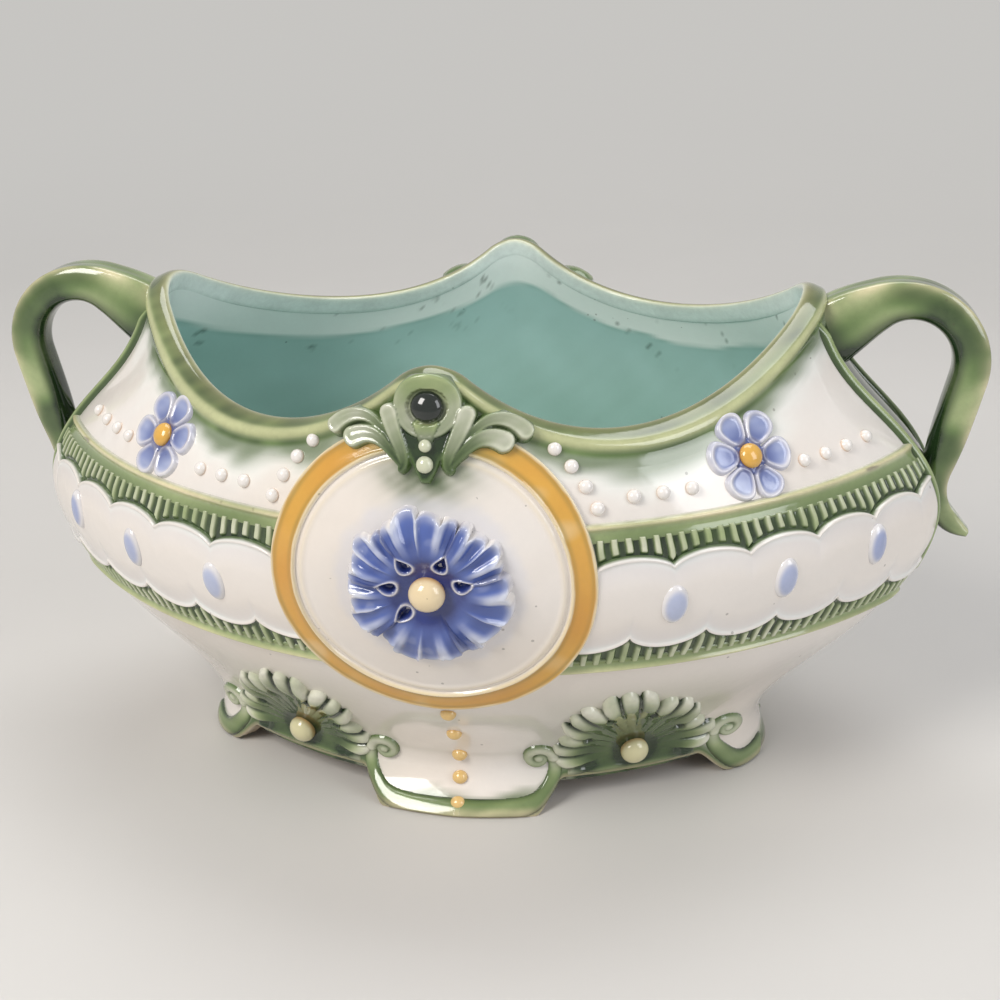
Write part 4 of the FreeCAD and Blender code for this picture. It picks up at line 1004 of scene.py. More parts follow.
def build_fillets():
    """Fillets: strips between two levels. The upper one is a thin raised edge over a hollow face, and the
    lower one a hollow face over a raised edge."""
    for name, (low, high), upper in (("upper_fillet", UPPER_FILLET, True),
                                     ("lower_fillet", LOWER_FILLET, False)):
        angle, level, way, up = strip(lambda w: low, lambda w: high, 0.7, 25, 27.0)
        share = up if upper else 1 - up
        edge = np.exp(-((share - 0.76) / 0.13)**2)
        body = smooth(0.0, 0.12, share) * smooth(1.0, 0.86, share)
        hollow = np.exp(-((share - 0.4) / 0.2)**2)
        relief = sunk(-0.6 + 1.15 * body + 0.95 * edge - 0.25 * hollow, surface(angle, level)[0])
        top, back = skins(surface, angle, level, relief, 1.6)
        worn = wear(top, 13.0, 7.0)
        cream, white = (0.40 + 0.45 * worn, 0.75) if upper else (0.15 + 0.40 * worn, 0.6)
        colour = coat(paint("green"), "leaf", unit(0.25 + 0.45 * worn + 0.3 * edge))
        colour = coat(colour, "cream", edge * cream)
        colour = coat(colour, "white", white * smooth(0.84, 0.95, share))
        chip = smooth(0.62, 0.80, drift(top, 5.0, 9.0) * drift(top, 17.0, 3.0)) * edge
        colour = blend(colour, 0.35 * paint("biscuit"), 0.8 * chip)
        pool_and_shade = 0.40 * smooth(0.6, 0.1, share) * (1.1 - worn)
        quarter_pieces(f"{name}_glazed", name, "green_glaze", [(top, back, colour, pool_and_shade)])


def build_scallops():
    """Scalloped band: a smooth swelling strip with a fine raised line along both lobed edges."""
    skirt = 0.4
    angle, level, way, up = strip(lambda w: lower_edge(w) - skirt, lambda w: upper_edge(w) + skirt,
                                  0.45, 78, 29.0)
    edge = np.minimum(upper_edge(way) - level, level - lower_edge(way))
    line = np.exp(-((edge - 0.65) / 0.42)**2)
    relief = 1.25 * smooth(-skirt, 0.25, edge) + 0.5 * line
    relief = relief + 0.35 * smooth(1.5, 8, edge) - 0.4 * smooth(0.1, -skirt, edge)
    relief = sunk(relief, surface(angle, level)[0])
    top, back = skins(surface, angle, level, relief, 1.4)
    # Painted shade: celadon and a little pale blue towards the lobes' edges, inside the raised line.
    shade = smooth(3.2, 1.1, edge) * (1 - line) * (0.35 + 0.25 * drift(top, 8.0, 3.0))
    colour = coat(white_ground(top, 0.4, 26.0, 6.0), "celadon", shade)
    colour = coat(colour, "pale_blue", 0.14 * smooth(8.0, 2.0, edge) * (1 - line))
    colour = coat(colour, "green", 0.9 * smooth(0.25, -0.05, edge))
    pool_and_shade = 0.4 * smooth(0.2, -0.2, edge)
    quarter_pieces("scallop_band", "scallop_band", "white_glaze", [(top, back, colour, pool_and_shade)])


def build_reeds():
    """Reeds: a ground strip with a rounded ridge at each pitch, from a fillet to a smooth margin that
    follows the lobes."""
    under = 0.9
    slabs = []
    upper = (lambda w: upper_edge(w) - under, lambda w: UPPER_REEDS_TOP, upper_edge, 1)
    lower = (lambda w: LOWER_REEDS_FOOT, lambda w: lower_edge(w) + under, lower_edge, -1)
    for low, high, lobes, turn in (upper, lower):
        angle, level, way, up = strip(low, high, 0.26, 26, 29.0)
        bare = surface(angle, level)[0]
        wave = np.cos(way / mm("reed_pitch") * 2 * math.pi + 0.5 * drift(bare, 6.0, 1.0))
        ridge = smooth(-0.7, 0.75, wave) * smooth(0.4, 1.5, turn * (level - lobes(way)))
        relief = sunk(0.1 + 0.85 * ridge, bare)
        top, back = skins(surface, angle, level, relief, 1.3)
        worn = wear(top, 9.0, 2.0)
        colour = coat(paint("green"), "leaf", ridge * (0.55 + 0.45 * worn))
        colour = coat(colour, "white", 0.45 * smooth(0.6, 1.0, ridge) * worn)
        slabs.append((top, back, colour, (1 - ridge) * (0.65 + 0.3 * worn)))
    quarter_pieces("reeds", "reeds", "green_glaze", slabs)


def build_borders():
    """Border ridges: half-round ridges up the ends beside the handles, which fade out at both ends."""
    half_width = 1.9
    level, side = np.meshgrid(np.linspace(BORDER_FOOT, BORDER_TOP, 176),
                              np.linspace(-half_width, half_width, 17), indexing="ij")
    spread = 9.8 + 1.6 * smooth(96, 119, level)
    angle = np.arcsin((spread + side) / END_RADIUS)
    fade = smooth(BORDER_TOP, BORDER_TOP - 7.0, level) * smooth(BORDER_FOOT, BORDER_FOOT + 4.5, level)
    relief = -0.5 + 2.3 * np.sqrt(np.maximum(1 - (side / 1.85)**2, 0)) * fade
    top, back = skins(surface, angle, level, relief, 1.5)
    crown = smooth(1.7, 0.5, np.abs(side))
    colour = coat(paint("green"), "leaf", crown * (0.3 + 0.5 * wear(top, 12.0, 5.0)))
    quarter_pieces("border_ridge", "border_ridge", "green_glaze", [(top, back, colour, 0.7 * (1 - crown))])


def disc_slab(parts, x, level, relief, depth, colour, pool_and_shade, side):
    """Polar rows of a sprig on the front or back, closed by a back at a depth."""
    kept = np.linspace(len(x) - 1, 0, 8).round().astype(int)
    top = front(x, level, relief, side)[0]
    back = front(x[kept], level[kept], np.full(x[kept].shape, depth), side)[0]
    colour = np.broadcast_to(colour, top.shape)
    pool_and_shade = np.broadcast_to(pool_and_shade, top.shape[:2])
    parts.tube(np.concatenate([top, back]), np.concatenate([colour, colour[kept]]),
               np.concatenate([pool_and_shade, pool_and_shade[kept]]), first=top[0].mean(0), last=back[-1].mean(0))


def medallion_disc(name, side):
    """Disc of a medallion: polar rows, dished, with a fine raised line inside its edge. Green runs down
    from the crest, and a little blue lies round the flower."""
    inner = mm("medallion_radius") - mm("ring_width")
    radius, angle = polar(np.concatenate([[0.4], np.linspace(1.5, inner + 0.6, 60)]), 264)
    x, level = on_medallion(radius, angle)
    line = np.exp(-((radius - inner + 1.6) / 0.55)**2)
    relief = 0.55 + 0.35 * (radius / inner)**2 + 0.45 * line
    points = front(x, level, relief, side)[0]
    run = np.exp(-(x / 9.5)**2 - ((level - 109) / 6.5)**2) * (0.9 + 0.3 * drift(points, 3.0, 2.0))
    near = smooth(24.5, 21.0, radius + 0.9 * drift(points, 4.0, 4.0))
    colour = white_ground(points, 0.45, 24.0, 8.0)
    colour = coat(colour, "green", unit(run))
    colour = coat(colour, "pale_blue", 0.3 * near)
    colour = coat(colour, "cream", 0.35 * line)
    parts = Parts()
    disc_slab(parts, x, level, relief, -1.2, colour, 0.7 * run, side)
    parts.finish(f"{name}_medallion_disc", [f"{name}_medallion_disc"], "white_glaze")


def medallion_ring(name, side):
    """Ring of a medallion: a flat profile with a bead along both edges, carried round the disc."""
    outer = mm("medallion_radius")
    inner = outer - mm("ring_width")
    profile = np.linspace(-1, 1, 27)
    radius, angle = polar((outer + inner) / 2 + profile * (outer - inner + 0.9) / 2, 400)
    x, level = on_medallion(radius, angle)
    across = np.broadcast_to(np.abs(profile)[:, None], radius.shape)
    bead = np.exp(-((across - 0.80) / 0.11)**2)
    relief = -0.4 + 2.2 * (1 - across**9) + 0.55 * bead - 0.15 * np.exp(-(across / 0.5)**2)
    top = front(x, level, relief, side)[0]
    kept = [len(profile) - 1, len(profile) // 2, 0]
    back = front(x[kept], level[kept], np.full(x[kept].shape, -1.1), side)[0]
    worn = wear(top, 15.0, 1.5)
    edge = smooth(0.64, 0.74, across + 0.05 * drift(top, 6.0, 2.0))
    covered = np.exp(-(x / 15)**2) * smooth(108, 114, level)
    colour = coat(paint("ochre"), "yellow", 0.1 + 0.45 * worn)
    colour = coat(colour, "cream", unit(edge + 0.35 * smooth(0.8, 1.0, worn)))
    colour = coat(colour, "white", smooth(0.84, 0.95, across))
    colour = coat(colour, "green", 0.7 * covered)
    pool_and_shade = 0.35 * np.exp(-((across - 0.55) / 0.16)**2) * (0.6 + 0.6 * worn) + 0.3 * covered
    parts = Parts()
    parts.tube(np.concatenate([top, back]), np.concatenate([colour, colour[kept]]),
               np.concatenate([pool_and_shade, pool_and_shade[kept]]), wrap=True)
    parts.finish(f"{name}_medallion_ring", [f"{name}_medallion_ring"], "ochre_glaze")


def build_medallion():
    """Medallions: a dished disc and a flat ring with beaded edges on each face."""
    for name, side in FACES.items():
        medallion_disc(name, side)
        medallion_ring(name, side)


def cornflower_pits(x, up):
    """Depth of the pits and height of their pale rims: drops that narrow outwards along the seams."""
    pits, rims = np.zeros(x.shape), np.zeros(x.shape)
    for seam, out in zip(PETAL_SEAMS, PIT_DISTANCES):
        along = x * math.cos(seam) + up * math.sin(seam) - out
        beside = -x * math.sin(seam) + up * math.cos(seam)
        place = np.hypot(along / 2.0, beside / np.maximum(1.35 - 0.28 * along, 0.3))
        pits = np.maximum(pits, smooth(0.95, 0.6, place))
        rims = np.maximum(rims, np.exp(-((place - 1.2) / 0.2)**2))
    return pits, rims


def build_cornflower():
    """Cornflower: polar rows. Six broad petals, each of four hollow flutes between thin pale ridges with
    round tips, and five pits with pale rims on the petals' seams round the pearl."""
    reach, middle, flutes, whole = mm("cornflower_radius"), mm("medallion_level"), 4, 2 * math.pi
    bounds = np.append(PETAL_SEAMS, PETAL_SEAMS[0] + whole)
    share, angle = polar(np.concatenate([[0.02], np.linspace(0.05, 1.0, 76)]), 432)
    turn = (angle - bounds[0]) % whole + bounds[0]
    along_petal = np.interp(turn, bounds, np.arange(len(bounds)))
    swirl = along_petal + 0.05 * np.sin(whole * along_petal) * share
    petal = swirl % 1 - 0.5
    flute = (flutes * swirl + 0.22 * np.sin(2 * whole * swirl)) % 1 - 0.5
    number = np.floor(flutes * swirl)
    hollow = 1 - (2 * flute)**2
    round_tip = np.sqrt(np.maximum(hollow, 0))
    ragged = 0.80 + 0.10 * round_tip + 0.09 * np.cos(math.pi * petal) + 0.04 * np.sin(2.3 * number)
    radius = share * reach * (ragged + (1 - ragged) * (1 - share)**2)
    x, level = on_medallion(radius, angle)
    far = radius / reach
    spread = smooth(0.36, 0.70, far)
    ridge = smooth(0.28, 0.47, np.abs(flute)) * spread
    seam = smooth(0.43, 0.495, np.abs(petal)) * smooth(0.25, 0.5, far)
    dome = 1.9 + 2.1 * np.exp(-((far - 0.62) / 0.30)**2) - 0.9 * np.exp(-((far - 0.24) / 0.13)**2)
    fall = smooth(1.0, 0.92, share)
    lip = np.exp(-((share - 0.92) / 0.06)**2) * spread
    pits, rims = cornflower_pits(x, level - middle)
    relief = dome * (0.35 + 0.65 * fall) - 1.1 * (1 - fall) + 0.35 * lip
    relief = relief + spread * (0.8 * ridge - 0.55 * hollow + 1.5 * petal) - 0.6 * seam
    relief = relief - 1.8 * pits + 0.45 * rims
    for name, side in FACES.items():
        worn = wear(front(x, level, relief, side)[0], 5.0, 3.0)
        pale = unit((0.95 * ridge**2 + 0.75 * lip) * (0.4 + 0.6 * worn))
        white = unit(0.85 * rims + 0.75 * smooth(0.90, 0.97, share) + 0.3 * pale * worn)
        colour = coat(paint("blue"), "pale_blue", unit(pale + 0.2 * smooth(0.75, 0.95, worn) * spread))
        colour = coat(colour, "white", white)
        trough = (1 - ridge) * smooth(0.95, 0.5, far) * (1.2 - worn)
        pool_and_shade = unit(0.5 * trough + pits + 0.8 * smooth(0.5, 0.28, far) + 0.5 * seam) * (1 - rims)
        parts = Parts()
        disc_slab(parts, x, level, relief, -0.6, colour, pool_and_shade, side)
        parts.finish(f"{name}_cornflower", [f"{name}_cornflower"], "blue_glaze")
        centre = Parts()
        pearl(centre, (0.0, middle), (4.4, 4.4, 3.6), 2.5, paint("cream"), 0.1, side=side)
        centre.finish(f"{name}_cornflower_pearl", [f"{name}_cornflower_pearl"], "cream_glaze")


def pearl(parts, place, radii, lift, colour, pool_and_shade, side=-1, signs=(1, -1), turns=28, rows=12, sink=0.45,
          crown=None):
    """Ellipsoid seated at a distance from the middle and a level of the front, or of the back, and mirrored
    into a quarter: radii along the bowl, up it and out of it, raised by a lift.

    Its colour passes to the crown's towards the top, and glaze pools round its seat.
    """
    point, normal = front(np.array(place[0]), np.array(place[1]), np.array(0.0), side)
    along = np.array([-normal[1], normal[0], 0.0])
    along /= np.linalg.norm(along)
    upwards = np.cross(normal, along)
    upwards = upwards if upwards[2] > 0 else -upwards
    out = normal * radii[2]
    centre = point + normal * lift
    tilt = np.linspace(0, math.pi / 2 + math.asin(sink), rows + 1)[1:, None, None]
    turn = (np.arange(turns) / turns * 2 * math.pi)[:, None]
    flat = np.cos(turn) * along * radii[0] + np.sin(turn) * upwards * radii[1]
    rings = centre + np.sin(tilt) * flat + np.cos(tilt) * out
    rise = np.broadcast_to(np.cos(tilt)[..., 0], rings.shape[:2])
    top = colour if crown is None else crown
    tint = blend(np.broadcast_to(colour, rings.shape), top, smooth(0.45, 0.85, rise))
    shade = unit(pool_and_shade + 0.55 * smooth(0.35, -0.2, rise))
    parts.tube(mirrored(rings, signs), tint, shade, first=mirrored(centre + out, signs),
               last=mirrored(centre - out * sink, signs))


def build_cabochons():
    """Cabochons: oval domes with a blue middle, one and a half lobes apart, which climb towards the end."""
    share, x, y, length = girth()
    cusp = np.interp(-FIRST_CUSP, -x, share)
    step = 1.5 * mm("scallop_pitch") / length
    rim = coat(paint("white"), "pale_blue", 0.25)
    for quarter, signs in QUARTERS.items():
        parts = Parts()
        for number in range(3):
            angle = angle_of_share(cusp - number * step, GIRTH_LEVEL)
            place = (float(plan(angle, GIRTH_LEVEL)[0]), FIRST_CABOCHON_LEVEL + CABOCHON_CLIMB * number)
            crown = coat(paint("pale_blue"), "blue", 0.25 + 0.12 * number)
            pearl(parts, place, (3.5, 5.6, 2.1), 1.0, rim, -0.3, signs=signs, turns=40, rows=20, crown=crown)
        parts.finish(f"{quarter}_cabochons", [f"{quarter}_cabochons"], "blue_glaze")


def build_pearls():
    """Pearls round the medallion and along the neck, and the chain of beads down to the foot."""
    radius = mm("pearl_radius")
    places = list(zip(*on_medallion(PEARL_ARC, np.radians(PEARL_ARC_DEGREES)))) + NECK_PEARLS
    for quarter, signs in QUARTERS.items():
        parts = Parts()
        for place in places:
            pearl(parts, place, (radius, radius, 1.6), 0.15, paint("white"), 0.0, signs=signs, turns=20,
                  rows=9)
        parts.finish(f"{quarter}_neck_pearls", [f"{quarter}_neck_pearls"], "cream_glaze")
    bead = coat(paint("yellow"), "cream", 0.35)
    for name, side in FACES.items():
        parts = Parts()
        for level in CHAIN_LEVELS:
            pearl(parts, (0.0, level), (2.1, 1.9, 1.7), 0.1, bead, 0.1, side=side)
        parts.finish(f"{name}_chain_beads", [f"{name}_chain_beads"], "yellow_glaze")


def tangent_grid(middle_x, middle_z, across, up):
    """Distances from the middle and levels of a grid laid on the surface at a point of the front right.

    The level shortens by the lean of the surface there, and the distance by its turn.
    """
    normal = surface(angle_of_x(np.array(middle_x), np.array(middle_z)), np.array(middle_z))[1]
    rise = math.hypot(normal[0], normal[1])
    turn, slip = abs(normal[1]) / rise, normal[0] * normal[2] / rise
    return middle_x + turn * across - slip * up, middle_z + rise * up


def build_flowers():
    """Forget-me-nots: a square grid on the surface. Six petals, each an oval cut by its sixth of the
    circle and dished inside a raised rim, stand round a small dome. The grid sinks under the bowl's skin
    beside them."""
    reach = mm("flower_radius")
    sixth, first_seam = math.pi / 3, math.radians(23)
    line = np.linspace(-1.05 * reach, 1.05 * reach, 112)
    across, up = np.meshgrid(line, line)
    radius, angle = np.hypot(across, up), np.arctan2(up, across)
    offset = (angle - first_seam) % sixth - sixth / 2
    along, beside = radius * np.cos(offset), radius * np.sin(offset)
    oval = np.hypot((along - 0.62 * reach) / (0.38 * reach), beside / (0.41 * reach))
    wedge = np.abs(beside) / np.maximum(0.565 * along, 0.01)
    place = (oval**6 + wedge**6)**(1 / 6)
    rim = np.exp(-((place - 0.80) / 0.15)**2)
    inside = smooth(1.10, 0.90, place)
    heart = smooth(0.42 * reach, 0.34 * reach, radius)
    petals = inside * (0.55 + 0.45 * rim + 0.35 * along / reach)
    relief = np.maximum(petals, 0.7 * heart) - 0.8 * (1 - np.maximum(inside, heart))
    top, back = skins(front, *tangent_grid(*FLOWER_PLACE, across, up), relief, 1.3)
    worn = wear(top, 4.0, 2.0)
    pale = unit(0.8 * rim + 0.7 * smooth(0.86, 1.05, place) * (1 - heart))
    colour = coat(paint("blue"), "pale_blue", 0.2 + 0.5 * worn * smooth(0.3, 0.9, along / reach))
    colour = coat(colour, "white", pale * (0.65 + 0.35 * worn))
    pool_and_shade = unit(0.5 * smooth(0.75, 0.3, along / reach) * smooth(0.8, 0.5, place) + 0.6 * heart)
    yolk = coat(paint("yellow"), "ochre", 0.3)
    for quarter, signs in QUARTERS.items():
        parts = Parts()
        parts.slab(mirrored(top, signs), mirrored(back, signs), colour, pool_and_shade)
        parts.finish(f"{quarter}_forget_me_not_glazed", [f"{quarter}_forget_me_not"], "blue_glaze")
        centre = Parts()
        pearl(centre, FLOWER_PLACE, (3.1, 3.1, 2.0), 0.9, yolk, 0.15, signs=signs)
        node = f"{quarter}_forget_me_not_centre"
        centre.finish(f"{node}_glazed", [node], "yellow_glaze")


def carve(x, z, strokes, ground, dish=0.0):
    """Relief of strokes over a ground: the highest of them at each point, how raised it is and the share
    of the way along it.

    A dish hollows the middle of each stroke by a share of its width and leaves its edges standing.
    """
    relief = ground
    raised, along = np.zeros(x.shape), np.zeros(x.shape)
    for path, widths, lift, crown in strokes:
        height, share, gap = stroke(x, z, path, widths)
        width = np.interp(share, np.linspace(0, 1, len(widths)), widths)
        hollow = dish * smooth(0.72, 1.0, height / width)
        over = height * crown - hollow * width + lift * smooth(0.0, -0.5, gap)
        bright = smooth(0.2, 1.0, height / np.max(widths)) * (1 - 1.6 * hollow)
        top = (gap < 0) & (over > relief)
        relief, raised, along = (np.where(top, new, old) for new, old in
                                 ((over, relief), (bright, raised), (share, along)))
    return relief, raised, along


def build_palmettes():
    """Palmettes: an upright grid over each arch, read in polar form about the pearl. Five sprays of three
    round-ended fingers fan out to an oval, rising from a dished field, with a drilled hole between sprays,
    and the ground sinks under the bowl's skin beyond the tips."""
    middle, pearl_level = PALMETTE_PLACE
    sprays, fingers, droop = 5, 3, 0.22
    fan = math.pi + 2 * droop
    across, up = np.meshgrid(np.linspace(-27.5, 27.5, 176), np.linspace(7.4, 47.0, 128))
    radius, angle = np.hypot(across, up - pearl_level), np.arctan2(up - pearl_level, across)
    angle = np.where(angle < -math.pi / 2, angle + 2 * math.pi, angle)
    oval = 1 / np.hypot(np.cos(angle) / 24.0, np.sin(angle) / 29.0)
    spray = np.clip((angle + droop) / fan, 0, 0.9999) * sprays
    within = spray % 1 - 0.5
    lean = within * (1 + 0.25 * np.cos(2 * math.pi * within) * (radius / oval - 0.6))
    finger = ((lean + 0.5) * fingers) % 1 - 0.5
    number = np.floor(spray) * fingers + np.floor((lean + 0.5) * fingers)
    tip = np.sqrt(np.maximum(1 - (2 * finger)**2, 0))
    swell = np.maximum(np.cos(math.pi * within), 0)**0.7
    edge = oval * (0.74 + 0.17 * swell + 0.035 * np.sin(2.4 * number) + 0.09 * tip)
    out = radius / edge
    outline = np.maximum(radius - edge, 8.4 - up)
    rise = smooth(0.50, 0.80, out)
    field = 0.45 + 0.75 * smooth(0.30, 0.90, out)
    ribs = 0.35 * (tip - 0.6) * smooth(0.22, 0.45, out) * (1 - rise)
    end = unit((out - 0.78) / 0.22)
    relief = field + ribs + rise * (1.9 * tip * np.sqrt(1 - end**2) - 0.85)
    relief = relief - 1.9 * smooth(-1.4, 0.5, outline)
    beside = np.abs(np.abs(within) - 0.5) * oval * fan / sprays * 0.72
    holes = smooth(1.7, 1.0, np.hypot(beside, radius - 0.60 * oval)) * (np.abs(angle - math.pi / 2) < 1.4)
    socket = np.exp(-((radius - 4.6) / 1.9)**2)
    foot = np.exp(-((up - 9.0) / 0.9)**2) * (np.abs(across) < 23)
    relief = relief - 1.5 * holes - 0.3 * socket
    relief = np.where(outline > 0.5, np.minimum(relief, -0.9), relief + 0.45 * foot)
    near = plan(angle_of_x(np.array([middle - 0.5, middle + 0.5]), 25.0), 25.0)[1]
    stretch = 1 / math.hypot(1.0, near[1] - near[0])
    top, back = skins(front, middle + stretch * across, up, relief, 1.6)
    worn = wear(top, 6.0, 2.5)
    groove = smooth(0.55, 0.98, np.abs(2 * finger)) * rise
    bright = rise * smooth(0.1, 0.85, tip) * (0.45 + 0.55 * smooth(0.6, 0.95, out)) * (1 - holes)
    colour = coat(paint("green"), "leaf", unit(bright * (0.6 + 0.4 * worn) + 0.15 * worn + 0.4 * foot))
    # White towards the finger tips is partly pale glaze on the raised tips and partly painted highlight.
    colour = coat(colour, "white", 0.75 * bright * smooth(0.66, 0.95, out) * (0.4 + 0.6 * worn))
    pool_and_shade = 0.48 - 0.65 * bright + 0.25 * (1 - worn) + 0.6 * groove + holes + 0.7 * socket - 0.4 * foot
    quarter_pieces("palmette", "palmette", "green_glaze", [(top, back, colour, unit(pool_and_shade))])
    pearls = Parts()
    pale = coat(paint("leaf"), "cream", 0.55)
    for signs in QUARTERS.values():
        pearl(pearls, PALMETTE_PLACE, (3.9, 3.9, 3.0), 1.2, pale, 0.0, signs=signs, turns=36, rows=16,
              sink=0.8)
    pearls.finish("Palmette_pearls", ["palmette_pearls"], "cream_glaze")


def build_scrolls():
    """Foot scrolls: upright grids over the feet. A round border runs along the foot's edge and curls into a
    volute at each flank."""
    parts = Parts()
    steps, top_level = 30, 21.5
    for (start, stop, columns), middle, turn, border in FOOT_SCROLLS:
        across, share = np.meshgrid(np.linspace(start, stop, columns), np.linspace(0, 1, 96))
        edge = arch_level(across)
        low = edge + 0.3
        up = low + (top_level - low) * share
        path = through(border, np.linspace(0, len(border) - 1, steps))
        strokes = [
            (path, np.linspace(2.6, 1.8, steps), 0.15, 0.38),
            (volute(middle, turn, steps), np.linspace(1.75, 1.0, steps), 0.45, 0.65),
            ([(middle, VOLUTE_LEVEL), (middle + 0.1, VOLUTE_LEVEL)], (1.4, 1.4), 0.6, 0.7),
        ]
        relief, raised, _ = carve(across, up, strokes, np.full(across.shape, -0.9))
        top, back = skins(front, across, up, relief, 1.7)
        for skin in (top, back):
            skin[..., 2] = np.maximum(skin[..., 2], low)
        worn = wear(top, 6.0, 1.0)
        # Painted light: lower down (shaded) the strokes get less pale green and more pooling as painted
        # shade, and white on the raised strokes higher up is painted highlight.
        shaded = smooth(11.0, 5.0, up)
        colour = coat(paint("green"), "leaf", raised * (0.55 + 0.45 * worn) * (1 - 0.6 * shaded))
        colour = coat(colour, "white", (0.25 + 0.4 * worn) * raised * smooth(8, 14, up))
        colour = coat(colour, "cream", smooth(2.4, 0.7, up - edge) * (0.35 + 0.35 * worn))
        pool_and_shade = 0.7 * (1 - raised) * (0.4 + 0.6 * shaded) + 0.25 * shaded * (1 - worn)
        for signs in QUARTERS.values():
            parts.slab(mirrored(top, signs), mirrored(back, signs), colour, pool_and_shade)
    parts.finish("Foot_scrolls", ["foot_scrolls"], "green_glaze")


def build_crest():
    """Crest: an upright grid under each peak. Three curled leaves on each side, the jewel's collar and its
    pendant are strokes over a sunk dark ground."""
    across, up = np.meshgrid(np.linspace(-24.5, 24.5, 172), np.linspace(103.5, 131.4, 108))
    away, steps, crown = np.abs(across), 22, 0.75
    turn = np.linspace(0, math.pi, steps)
    collar = COLLAR_RADIUS * np.stack([np.sin(turn), np.cos(turn)], axis=-1) + np.array([0.0, JEWEL_LEVEL])
    strokes = [(bezier(points, count), np.linspace(*widths, count), lift + 0.9, crown)
               for points, widths, count, lift in CREST_LEAVES]
    strokes.append(([(0, 118.4), (0, PENDANT_LEVEL)], (3.2, 1.6), 1.9, crown))
    strokes.append((collar, np.linspace(2.8, 2.2, steps), 1.9, crown))
    outline = np.maximum(away - 0.5 * (up - 104.0), np.hypot(away, (up - 117.0) * 0.9) - 10.0)
    for path, widths, _, _ in strokes:
        outline = np.minimum(outline, stroke(away, up, path, widths)[2])
    over_ring = np.hypot(away, up - mm("medallion_level")) < mm("medallion_radius") + 0.4
    under = np.where(over_ring, 2.2, 1.0)
    under = np.where(up > lip_level(away) - 6.0, np.maximum(under, 1.5), under)
    ground = under * smooth(0.8, -0.5, outline) - 0.9 * smooth(-0.2, 0.8, outline)
    relief, raised, along = carve(away, up, strokes, ground, 0.22)
    relief = np.where(np.hypot(away, up - JEWEL_LEVEL) < 4.2, 2.0, relief)
    relief = np.where(outline > 0.75, -1.0, relief)
    level = np.minimum(up, lip_level(away) - 0.4)
    pool_and_shade = unit(1.1 - 1.35 * raised) * (0.35 + 0.65 * smooth(-0.2, -1.4, outline))
    pale = coat(paint("leaf"), "white", 0.4)
    for name, side in FACES.items():
        top, back = skins(front, across, level, relief, 1.5, side)
        worn = wear(top, 4.0, 2.0)
        colour = coat(paint("green"), "leaf", unit(raised * (0.7 + 0.35 * worn)))
        colour = coat(colour, "white", raised * (0.35 + 0.45 * worn) * smooth(0.1, 0.8, along))
        parts = Parts()
        parts.slab(top, back, colour, pool_and_shade)
        parts.finish(f"{name}_crest", [f"{name}_crest"], "green_glaze")
        jewels = Parts()
        pearl(jewels, (0.0, JEWEL_LEVEL), (3.9, 3.7, 2.5), 2.2, paint("jewel"), 0.2, side=side)
        pearl(jewels, (0.0, PENDANT_LEVEL), (1.5, 1.5, 1.3), 3.2, pale, 0.0, side=side)
        pearl(jewels, (0.0, DROP_LEVEL), (2.0, 2.0, 1.6), 2.8, pale, 0.0, side=side)
        jewels.finish(f"{name}_crest_jewels", [f"{name}_crest_jewels"], "dark_glaze")


def pale_share(nodes, links):
    """Socket that is 1 for rays that look at the background, straight, in gloss or through glass."""
    ray = nodes.new("ShaderNodeLightPath")
    either = nodes.new("ShaderNodeMath")
    either.operation = "MAXIMUM"
    seen = nodes.new("ShaderNodeMath")
    seen.operation = "MAXIMUM"
    links.new(ray.outputs["Is Glossy Ray"], either.inputs[0])
    links.new(ray.outputs["Is Transmission Ray"], either.inputs[1])
    links.new(ray.outputs["Is Camera Ray"], seen.inputs[0])
    links.new(either.outputs[0], seen.inputs[1])
    return seen.outputs[0]


def floor_material():
    """Plain pale matt ground with a slight grain, which passes to the backdrop's colour far off."""
    material = bpy.data.materials.new("Pale floor")
    material.use_nodes = True
    nodes, links = material.node_tree.nodes, material.node_tree.links
    shader = nodes["Principled BSDF"]
    place = nodes.new("ShaderNodeTexCoord")
    noise = nodes.new("ShaderNodeTexNoise")
    ramp = nodes.new("ShaderNodeValToRGB")
    distance = nodes.new("ShaderNodeVectorMath")
    fade = nodes.new("ShaderNodeMapRange")
    share = nodes.new("ShaderNodeMath")
    glow = nodes.new("ShaderNodeEmission")
    choice = nodes.new("ShaderNodeMixShader")
    noise.inputs["Scale"].default_value = 14.0
    ramp.color_ramp.elements[0].color = (*(0.95 * FLOOR_COLOUR), 1.0)
    ramp.color_ramp.elements[1].color = (*FLOOR_COLOUR, 1.0)
    shader.inputs["Roughness"].default_value = 0.6
    distance.operation = "LENGTH"
    fade.interpolation_type = "SMOOTHSTEP"
    fade.inputs["From Min"].default_value = FLOOR_FADE[0]
    fade.inputs["From Max"].default_value = FLOOR_FADE[1]
    share.operation = "MULTIPLY"
    glow.inputs["Color"].default_value = (*BACKDROP, 1.0)
    glow.inputs["Strength"].default_value = 1.0
    links.new(place.outputs["Object"], noise.inputs["Vector"])
    links.new(noise.outputs["Fac"], ramp.inputs["Fac"])
    links.new(ramp.outputs["Color"], shader.inputs["Base Color"])
    links.new(place.outputs["Object"], distance.inputs[0])
    links.new(distance.outputs["Value"], fade.inputs["Value"])
    links.new(fade.outputs["Result"], share.inputs[0])
    links.new(pale_share(nodes, links), share.inputs[1])
    links.new(share.outputs[0], choice.inputs["Fac"])
    links.new(shader.outputs[0], choice.inputs[1])
    links.new(glow.outputs[0], choice.inputs[2])
    links.new(choice.outputs[0], nodes["Material Output"].inputs["Surface"])
    return material


